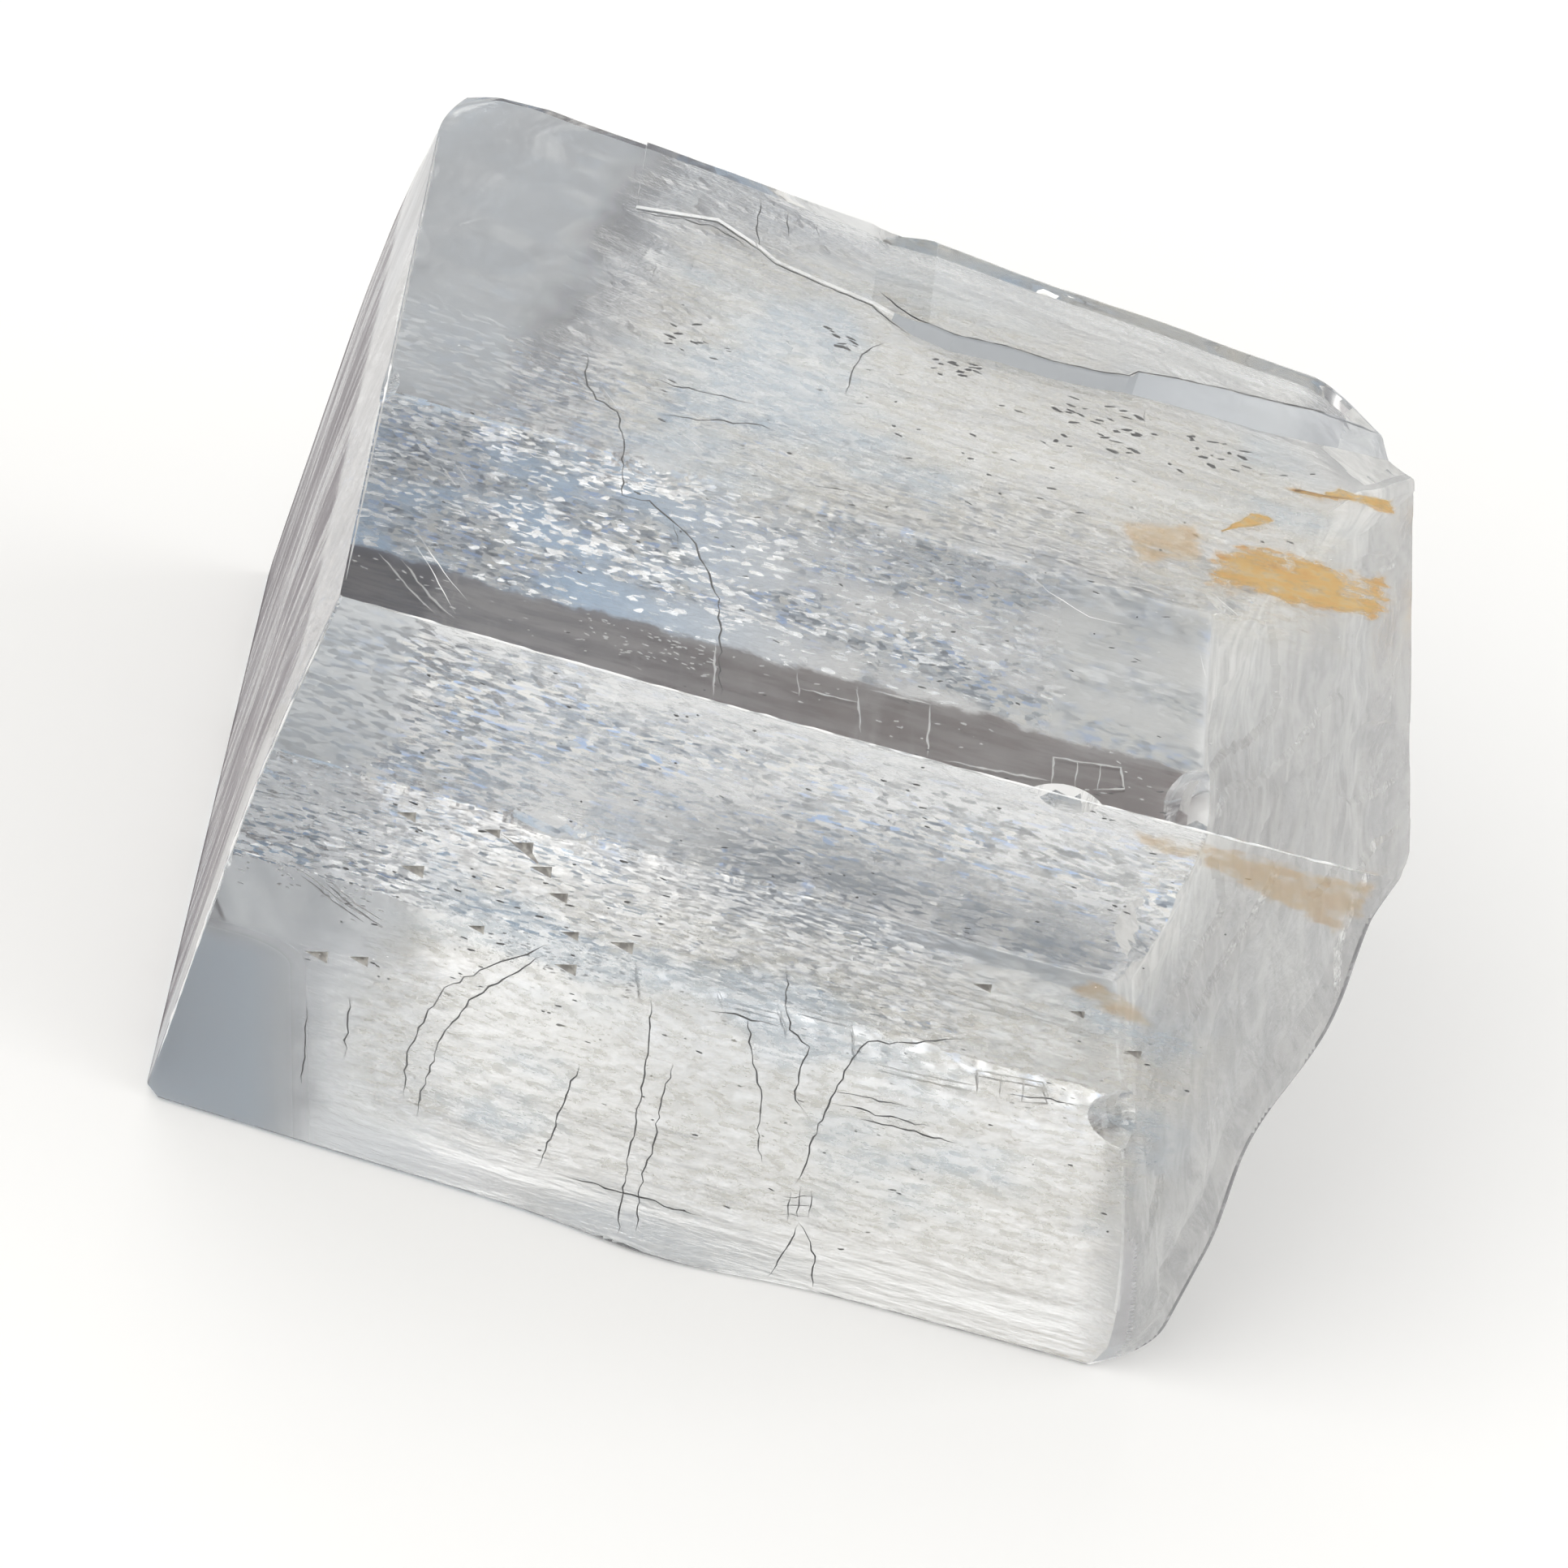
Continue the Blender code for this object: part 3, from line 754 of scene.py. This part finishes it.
def left_cleavage():
    """The left end: clear, with dull grey streaks that run down it, and painted shade that darkens
    it, most of all towards its back and base edges.
    """
    finish = Finish("left_cleavage")
    u, v, w = finish.lattice_fields()
    streaks = finish.noise(finish.vector(u, v, w * 0.1), 0.8, 6.0, 0.7)
    # The dull mauve-grey is partly the end's own streaks and partly painted shade, where the end
    # looks onto the shaded floor behind the crystal.
    clear = calcite_shader(finish, (0.75, 0.74, 0.76, 1.0), 0.06)
    outer = v.step(31.0, 32.8) + w.step(27.5, 29.0)
    mauve_shade = finish.blend(outer.step(0.0, 1.0), (0.2, 0.18, 0.2, 1.0), (0.1, 0.085, 0.1, 1.0))
    dull = finish.plain(mauve_shade, 0.6)
    pale_strip = (1.0 - w.step(5.0, 7.0)) + (1.0 - v.step(2.0, 4.0))
    amount = (streaks.step(0.38, 0.62) * 0.6 + 0.36) * (1.0 - pale_strip.step(0.0, 1.0) * 0.75)
    amount = amount + outer.step(0.2, 1.2) * 0.4
    return finish.mixed(amount, clear, dull)


# Painted glints: the tints of the glittering facets, from dark specks through pale to a blue
# sparkle.
GLINT_TINTS = [(0.0, (0.03, 0.045, 0.08, 1.0)), (0.3, (0.3, 0.38, 0.48, 1.0)),
               (0.45, (0.85, 0.9, 0.96, 1.0)), (0.7, (1.0, 1.0, 0.97, 1.0)),
               (0.84, (0.98, 0.95, 0.85, 1.0)), (0.9, (0.3, 0.5, 1.0, 1.0))]


def glint_tint(finish, place, scale):
    """Painted glints: small neighbouring facets tinted darker, lighter or bluer than each other.
    """
    cell = finish.node("ShaderNodeTexVoronoi", None, {"Vector": place, "Scale": scale}, "Color")
    value = finish.node("ShaderNodeSeparateColor", None, {"Color": cell}, "Red")
    return finish.node("ShaderNodeValToRGB", {"stops": GLINT_TINTS}, {"Fac": value}, "Color")


def broken_back():
    """The back: clean at its left, streaked above, and glittering low down."""
    finish = Finish("broken_back")
    u, v, w = finish.lattice_fields()
    wander = finish.noise(finish.vector(u, v, w), 0.2, 2.0)
    rough = (u + (wander - 0.5) * 6.0).step(8.5, 11.5)
    low = w.step(18.0, 22.0)
    place = finish.vector(u * 0.3, v, w)
    facets = facet_heights(finish, place, 5.5, 4.0)
    streaks = finish.noise(place, 1.3, 6.0, 0.65)
    height = streaks * rough * 0.45 + facets * low * 3.6
    bump = finish.bump(0.8, 0.45, height)
    roughness = 0.04 + rough * 0.2 * (1.0 - low)
    glints = glint_tint(finish, place, 5.5)
    patchy = finish.noise(place.moved(9.0), 0.5, 5.0, 0.6).step(0.4, 0.55)
    bright = finish.blend(low * patchy, (0.93, 0.95, 0.97, 1.0), glints)
    shadow = w.step(22.5, 27.0) * u.step(16.0, 30.0) * (0.55 + (1.0 - wander) * 0.9)
    colour = finish.blend(shadow, bright, (0.07, 0.09, 0.12, 1.0))
    clear = calcite_shader(finish, colour, roughness, bump)
    frost = finish.node("ShaderNodeBsdfTranslucent", None, {"Color": (0.5, 0.53, 0.565, 1.0)})
    amount = (1.0 - rough) * (0.5 + wander * 0.3)
    return finish.mixed(amount, clear, frost)


def broken_base():
    """The base: glittering at the back, clean in a band that is darkened with painted shade,
    softly stepped in front.
    """
    finish = Finish("broken_base")
    u, v, w = finish.lattice_fields()
    fray = finish.noise(finish.vector(u * 0.5, v, w), 0.9, 4.0, 0.6)
    frayed = v + (fray - 0.5) * 1.6
    glitter = frayed.step(BASE_CLEAR_TO - 0.15, BASE_CLEAR_TO + 0.15)
    stepped = (1.0 - v.step(BASE_CLEAR_FROM - 2.5, BASE_CLEAR_FROM)) * u.step(5.0, 9.0)
    place = finish.vector(u * 0.4, v, w)
    facets = facet_heights(finish, place, 5.0, 1.0)
    streaks = finish.noise(finish.vector(u * 0.25, v, w), 1.2, 5.0, 0.6)
    fading = u.step(33.0, 42.5) * glitter
    height = facets * glitter * 2.4 * (1.0 - fading * 0.7)
    height += streaks * (glitter + stepped * 0.6) * 0.3
    bump = finish.bump(0.8, 0.45, height)
    band = (1.0 - glitter) * v.step(BASE_CLEAR_FROM - 0.3, BASE_CLEAR_FROM)
    patchy = finish.noise(place.moved(5.0), 0.4, 5.0, 0.6).step(0.4, 0.55)
    # A painted blue sparkle, strongest at the left of the glitter.
    blue_sparkle_tint = finish.blend(u.step(14.0, 30.0), (0.5, 0.72, 1.0, 1.0), (0.97, 0.98, 1.0, 1.0))
    bright = finish.blend(glitter * patchy, blue_sparkle_tint, glint_tint(finish, place, 6.0))
    lengthwise = finish.noise(finish.vector(u * 0.12, v, w), 1.5, 5.0, 0.6)
    crosswise = finish.noise(finish.vector(u, v * 0.1, w), 0.5, 6.0, 0.65)
    # The clean band's colour is painted shade: dark brown-grey with paler streaks, standing in for
    # the shaded floor under the crystal seen through it.
    band_shade_tint = finish.blend(u.step(8.0, 30.0), (0.03, 0.028, 0.055, 1.0), (0.12, 0.085, 0.085, 1.0))
    band_shade_colour = finish.blend(lengthwise.step(0.42, 0.62) * 0.55 + crosswise.step(0.55, 0.7) * 0.45,
                         band_shade_tint, (0.3, 0.28, 0.29, 1.0))
    colour = finish.blend(band, bright, band_shade_colour)
    corner = (1.0 - u.step(4.0, 8.0)) * (1.0 - v.step(14.5, 17.5))
    roughness = 0.05 + stepped * 0.12 + corner * 0.5
    clear = calcite_shader(finish, colour, roughness, bump)
    frost = finish.node("ShaderNodeBsdfTranslucent", None, {"Color": (0.97, 0.98, 0.98, 1.0)})
    amount = corner * 0.2 + fading * 0.4
    return finish.mixed(amount, clear, frost)


def broken_end():
    """The right end: a fine frosted break."""
    finish = Finish("broken_end")
    u, v, w = finish.lattice_fields()
    hackles = finish.noise(finish.vector(u, v * 0.35, w), 0.55, 7.0, 0.65, 0.6)
    grain = finish.noise(finish.vector(u, v, w), 1.6, 6.0, 0.6)
    bump = finish.bump(0.7, 0.6, hackles + grain * 0.4)
    paleness = finish.blend(hackles.step(0.35, 0.65), (0.8, 0.81, 0.83, 1.0),
                            (0.99, 0.99, 0.98, 1.0))
    clear = calcite_shader(finish, paleness, 0.22, bump)
    frost = finish.node("ShaderNodeBsdfTranslucent", None, {"Color": (0.86, 0.855, 0.835, 1.0)})
    amount = (v.step(18.0, 27.0) * 0.25 + 0.25) * (0.6 + hackles.step(0.35, 0.65) * 0.6)
    return finish.mixed(amount, clear, frost)


def ledge_riser():
    """The leaning riser of the ledge on the top: smooth, and greyer with painted shade that fades
    towards its right.
    """
    finish = Finish("ledge_riser")
    u, _v, _w = finish.lattice_fields()
    clear = calcite_shader(finish, (0.85, 0.88, 0.92, 1.0), 0.2)
    dull = finish.plain((0.5, 0.53, 0.57, 1.0), 0.4)
    amount = 0.85 - u.step(33.0, 43.0) * 0.5
    return finish.mixed(amount, clear, dull)


def edge_highlight():
    """The worn front edge of the top, with a painted highlight that makes it white in places."""
    finish = Finish("edge_highlight")
    u, _v, _w = finish.lattice_fields()
    edge_patches = finish.noise(finish.vector(u, 0.0, 0.0), 0.6, 6.0, 0.7)
    clear = calcite_shader(finish, (0.97, 0.97, 0.97, 1.0), 0.1)
    white = finish.plain((0.9, 0.9, 0.9, 1.0), 0.5)
    amount = edge_patches.step(0.35, 0.5) * 0.85
    return finish.mixed(amount, clear, white)


def etched_pit():
    """The pits on the front: dull, and mottled grey."""
    finish = Finish("etched_pit")
    u, v, w = finish.lattice_fields()
    grain = finish.noise(finish.vector(u, v, w), 3.0, 4.0)
    colour = finish.blend(grain.step(0.35, 0.65), (0.26, 0.25, 0.24, 1.0),
                          (0.5, 0.49, 0.46, 1.0))
    return finish.finish(finish.plain(colour, 0.6))


def hairline_dark():
    """Cracks and flecks that look dark grey, and the painted shade lines along the ledge."""
    finish = Finish("hairline_dark")
    u, v, w = finish.lattice_fields()
    grain = finish.noise(finish.vector(u, v, w), 0.8, 3.0)
    colour = finish.blend(grain.step(0.35, 0.65), (0.02, 0.02, 0.025, 1.0),
                          (0.12, 0.12, 0.125, 1.0))
    return finish.finish(finish.plain(colour, 0.6, 0.85))


def white_scratch_and_glint():
    """Bruised calcite, which looks white; the same white makes the painted highlights and glints.
    """
    finish = Finish("white_scratch_and_glint")
    u, v, w = finish.lattice_fields()
    grain = finish.noise(finish.vector(u, v, w), 1.5, 3.0)
    colour = finish.blend(grain.step(0.3, 0.6), (0.85, 0.87, 0.9, 1.0), (0.95, 0.95, 0.95, 1.0))
    return finish.finish(finish.plain(colour, 0.4))


def rust_film(name, strength):
    """Iron rust that thins out towards its outline, as the film's own attribute says."""
    finish = Finish(name)
    u, v, w = finish.lattice_fields()
    inside = finish.node("ShaderNodeAttribute", {"attribute_name": "inside"}, output="Fac")
    streaks = finish.noise(finish.vector(u * 0.5, v, w), 1.6, 6.0, 0.65)
    colour = finish.node("ShaderNodeValToRGB",
                         {"stops": [(0.3, (0.92, 0.5, 0.1, 1.0)), (0.5, (0.98, 0.64, 0.18, 1.0)),
                                    (0.7, (0.97, 0.8, 0.5, 1.0))]}, {"Fac": streaks}, "Color")
    patches = finish.noise(finish.vector(u * 0.4, v, w).moved(3.0), 0.8, 5.0, 0.6)
    mottle = (0.5 - streaks) * 2.2 + (0.5 - patches) * 2.4
    alpha = (inside * 0.9 + mottle - 0.15).step(0.0, 0.9) * strength
    return finish.finish(finish.plain(colour, 0.5, alpha))


def milky_veil():
    """A faint cloud inside the crystal: creamy, bluish in places, drawn out along its length."""
    finish = Finish("milky_veil")
    u, v, w = finish.lattice_fields()
    inside = finish.node("ShaderNodeAttribute", {"attribute_name": "inside"}, output="Fac")
    streaks = finish.noise(finish.vector(u * 0.4, v, w), 2.6, 7.0, 0.75)
    clouds = finish.noise(finish.vector(u * 0.5, v, w), 0.17, 5.0, 0.6)
    blue = clouds.step(0.48, 0.62)
    colour = finish.blend(blue, (0.97, 0.93, 0.83, 1.0), (0.74, 0.86, 0.98, 1.0))
    alpha = inside * (streaks.step(0.35, 0.7) * 0.38 + clouds.step(0.4, 0.62) * 0.1)
    return finish.finish(finish.plain(colour, 0.6, alpha))


def bruised_rim():
    """The worn lower and upright edges, greyer than the faces that they join."""
    finish = Finish("bruised_rim")
    u, v, w = finish.lattice_fields()
    edge_patches = finish.noise(finish.vector(u, v, w), 0.9, 5.0, 0.65)
    clear = calcite_shader(finish, (0.9, 0.9, 0.9, 1.0), 0.15)
    dull = finish.plain((0.2, 0.2, 0.21, 1.0), 0.5)
    amount = edge_patches.step(0.3, 0.6) * 0.6 + 0.3
    return finish.mixed(amount, clear, dull)


TOP, LEFT, BACK, BASE, END, RISER, LIT_EDGE, PIT, RIM = range(9)


def on_rim(u, v, w):
    """Whether a place lies on one of the worn edges around the front's foot and right side."""
    at_front = v < front_face(u, w) + RIM_WIDTH
    return at_front and (u > right_end(v, w) - RIM_WIDTH or w > STEEP_EDGE - RIM_WIDTH)


def in_pit(corners):
    """Whether all corners of a facet lie within one of the front's pits."""
    return any(all(math.hypot(u - pit_u, w - pit_w) < width * 1.8 for u, _v, w in corners)
               for pit_u, pit_w, width in FRONT_PITS)


def which_face(polygon, mesh):
    """The face of the block that a facet belongs to."""
    u, v, w = INTO_LATTICE @ polygon.center
    normal = polygon.normal
    level = normal.z >= LEVEL
    if w > TOP_REACH and on_rim(u, v, w):
        return RIM
    if w > STEEP_EDGE - BASE_REACH and normal.z < -0.5:
        return BASE
    if u > LONG_EDGE - END_REACH and normal.x > 0.45:
        return END
    if w > TOP_REACH and normal.y > 0.4:
        return BACK
    if w > TOP_REACH and normal.x < -0.7:
        return LEFT
    if w < -STRIP_LOW_RAISE - 0.02 and not level and v < DEPTH_EDGE - 1.2 - BACK_TAPER * u:
        return RISER
    if abs(v) < 0.4 and abs(w) < TOP_REACH and not level and normal.y > -0.9:
        return LIT_EDGE
    if front_face(u, w) + 0.01 < v < 0.5 and 2.0 < w and u < 42.0:
        if in_pit([INTO_LATTICE @ mesh.vertices[index].co for index in polygon.vertices]):
            return PIT
    return TOP


def dress(crystal):
    crystal.data.materials.clear()
    finishes = (clear_cleavage(), left_cleavage(), broken_back(), broken_base(), broken_end(),
                ledge_riser(), edge_highlight(), etched_pit(), bruised_rim())
    for finish in finishes:
        crystal.data.materials.append(finish)
    for polygon in crystal.data.polygons:
        polygon.material_index = which_face(polygon, crystal.data)
    select_only(crystal)
    bpy.ops.object.shade_smooth_by_angle(angle=math.radians(8.0))
    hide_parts("calcite_crystal")
    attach(crystal, "root")


def add_piece(piece, name, finish):
    piece.name = name
    piece.data.materials.clear()
    piece.data.materials.append(finish)
    select_only(piece)
    bpy.ops.object.shade_smooth_by_angle(angle=math.radians(40.0))
    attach(piece, "root")


def wandering(points, rng, step, amount):
    """A line through the given points with small turns added."""
    line = []
    for start, end in zip(points, points[1:]):
        count = max(int(math.dist(start, end) / step), 1)
        for part in range(count):
            share = part / count
            shift = amount if part else 0.0
            line.append(tuple(a + (b - a) * share + shift * rng.uniform(-1.0, 1.0)
                              for a, b in zip(start, end)))
    line.append(tuple(points[-1]))
    return line


def thin_lines(name, lines, radius, finish, rng):
    """Fine rods along lines of points in metres, thinning out at their ends."""
    curve = bpy.data.curves.new(name, "CURVE")
    curve.dimensions = "3D"
    curve.bevel_depth = radius * MM
    curve.bevel_resolution = 1
    for line in lines:
        spline = curve.splines.new("POLY")
        spline.points.add(len(line) - 1)
        for index, (point, place) in enumerate(zip(spline.points, line)):
            point.co = (*place, 1.0)
            end = min(index, len(line) - 1 - index)
            point.radius = rng.uniform(0.5, 1.3) * min((end + 0.3) / 3.0, 1.0)
    rods = bpy.data.objects.new(name, curve)
    bpy.context.scene.collection.objects.link(rods)
    select_only(rods)
    bpy.ops.object.convert(target="MESH")
    add_piece(bpy.context.object, name, finish)


def on_top(u, v, depth):
    return LATTICE @ Vector((u, v, depth))


def behind_front(u, w, depth):
    return LATTICE @ Vector((u, front_face(u, w) + depth, w))


def add_hairlines(rng):
    lines = [[on_top(u, v, CRACK_DEPTH) for u, v in wandering(points, rng, 0.35, 0.09)]
             for points in TOP_CRACKS]
    # The dark lines along the ledge's foot and lip are painted shade where the step meets the top,
    # drawn like the cracks.
    foot = [(u, v) for u, v, _lean in STRIP_LEDGE if u < 23.5]
    lip = [(u, v + lean) for u, v, lean in STRIP_LEDGE if u > 20.0]
    lines.append([on_top(u, v, CRACK_DEPTH) for u, v in wandering(foot, rng, 0.35, 0.03)])
    lines.append([on_top(u, v + 0.12, CRACK_DEPTH - STRIP_RAISE)
                  for u, v in wandering(lip, rng, 0.35, 0.03)])
    lines += [[behind_front(u, w, CRACK_DEPTH) for u, w in wandering(points, rng, 0.35, 0.09)]
              for points in FRONT_CRACKS]
    thin_lines("cracks_and_ledge_shade", lines, CRACK_RADIUS, hairline_dark(), rng)


def add_scratches(rng):
    lines = [[on_top(u, v, 0.0) for u, v in wandering(points, rng, 0.5, 0.03)]
             for points in SCRATCHES]
    thin_lines("top_scratches", lines, SCRATCH_RADIUS, white_scratch_and_glint(), rng)


def add_edge_highlights(rng):
    """Painted highlights: white rods along the front edge and the two long edges of the left end.
    """
    front = [(u, front_face(u, 0.0) + 0.04, 0.04) for u in range(1, 45)]
    upper = [(left_end(v, 0.0) + 0.06, v, 0.06) for v in range(1, 30)]
    lower = [(left_end(0.0, w) + 0.06, 0.06, w) for w in range(1, 28)]
    lines = [[LATTICE @ Vector(place) for place in wandering(points, rng, 0.4, 0.02)]
             for points in (front, upper, lower)]
    thin_lines("edge_highlights", lines, HIGHLIGHT_RADIUS, white_scratch_and_glint(), rng)


def add_band_glints(rng):
    depth = STEEP_EDGE - 0.2
    lines = [[on_top(u, v, depth) for u, v in wandering(points, rng, 0.3, 0.04)]
             for points in BAND_GLINTS]
    thin_lines("band_glints", lines, HIGHLIGHT_RADIUS, white_scratch_and_glint(), rng)


def add_flecks(rng):
    """Small flakes that lie along the long edge, inside the crystal or on its skin; the pale ones
    in the base are painted glints.
    """
    flecks = {"dark": [], "pale": []}
    for face, first, second, depths, count, size, finish in FLECK_GROUPS:
        for _index in range(count):
            a = rng.uniform(*first)
            b = rng.uniform(*second)
            depth = rng.uniform(*depths)
            if face == "front":
                place = behind_front(a, b, depth)
            else:
                place = on_top(a, b, STEEP_EDGE - depth if face == "base" else depth)
            bpy.ops.object.select_all(action="DESELECT")
            bpy.ops.mesh.primitive_ico_sphere_add(subdivisions=2, radius=MM)
            fleck = bpy.context.object
            for vert in fleck.data.vertices:
                vert.co *= rng.uniform(0.6, 1.2)
            length = size * rng.uniform(0.3, 1.2)
            thickness = size * rng.uniform(0.12, 0.3)
            turn = Matrix.Rotation(rng.uniform(-0.35, 0.35), 4, "Z")
            shape = Matrix.Diagonal((length, thickness, thickness, 1.0))
            fleck.data.transform(Matrix.Translation(place) @ turn @ shape)
            flecks[finish].append(fleck)
    add_piece(joined(flecks["dark"], "dark_flecks"), "dark_flecks", hairline_dark())
    add_piece(joined(flecks["pale"], "pale_flecks"), "pale_flecks", white_scratch_and_glint())


def film(outline, softness):
    """A thin sheet with the given outline of points in metres, marked where it thins out."""
    bpy.ops.object.select_all(action="DESELECT")
    bpy.ops.mesh.primitive_circle_add(vertices=len(outline), radius=1.0, fill_type="NGON")
    sheet = bpy.context.object
    for vert, place in zip(sheet.data.vertices, outline):
        vert.co = place
    bpy.ops.object.mode_set(mode="EDIT")
    bpy.ops.mesh.select_all(action="SELECT")
    bpy.ops.mesh.inset(thickness=softness * MM, depth=0.0)
    bpy.ops.mesh.select_all(action="SELECT")
    bpy.ops.mesh.quads_convert_to_tris()
    bpy.ops.object.mode_set(mode="OBJECT")
    inside = sheet.data.attributes.new("inside", "FLOAT", "POINT")
    for vert in sheet.data.vertices:
        edge = min((vert.co - place).length for place in outline)
        inside.data[vert.index].value = 0.0 if edge < 0.000001 else 1.0
    wall = sheet.modifiers.new("thickness", "SOLIDIFY")
    wall.thickness = FILM_THICKNESS * MM
    apply_modifier(sheet, wall)
    return sheet


def add_films(name, tops, fronts, depth, finish):
    films = [film([on_top(u, v, depth) for u, v in outline], softness)
             for softness, outline in tops]
    films += [film([behind_front(u, w, depth) for u, w in outline], softness)
              for softness, outline in fronts]
    add_piece(joined(films, name), name, finish)


def pale_floor():
    finish = Finish("pale_floor")
    return finish.finish(finish.plain(FLOOR_COLOUR, 0.6))


def add_floor():
    bpy.ops.object.select_all(action="DESELECT")
    bpy.ops.mesh.primitive_plane_add(size=FLOOR_SIZE, location=(0.0, 0.0, -FLOOR_GAP * MM))
    floor = bpy.context.object
    floor.name = "floor"
    floor.data.materials.append(pale_floor())


def add_softbox(name, azimuth, elevation, distance, size, power, colour):
    """A square lamp that faces the crystal. Azimuth 0 is in front of it, 90 to its right."""
    data = bpy.data.lights.new(name, "AREA")
    data.size = size
    data.energy = power
    data.color = colour
    lamp = bpy.data.objects.new(name, data)
    bpy.context.scene.collection.objects.link(lamp)
    a = math.radians(azimuth)
    e = math.radians(elevation)
    away = Vector((math.sin(a) * math.cos(e), -math.cos(a) * math.cos(e), math.sin(e)))
    lamp.location = away * distance
    lamp.rotation_euler = away.to_track_quat("Z", "Y").to_euler()


def add_lights():
    world = bpy.data.worlds.new("studio")
    bpy.context.scene.world = world
    world.use_nodes = True
    background = world.node_tree.nodes["Background"]
    background.inputs["Color"].default_value = ROOM_COLOUR
    background.inputs["Strength"].default_value = ROOM_STRENGTH
    for softbox in SOFTBOXES:
        add_softbox(*softbox)


add_camera()
add_floor()
add_lights()
dress(make_crystal())
chance = random.Random(SEED)
add_hairlines(chance)
add_scratches(chance)
add_flecks(chance)
add_edge_highlights(chance)
add_band_glints(chance)
add_films("rust_films", TOP_STAINS, [], STAIN_DEPTH, rust_film("rust_film", 1.0))
add_films("faint_rust_films", FAINT_TOP_STAINS, FRONT_STAINS, STAIN_DEPTH,
          rust_film("faint_rust_film", 0.3))
add_films("milky_veils", TOP_VEILS, FRONT_VEILS, VEIL_DEPTH, milky_veil())

bpy.context.scene.view_settings.view_transform = "Standard"
bpy.context.scene.cycles.glossy_bounces = GLOSSY_BOUNCES
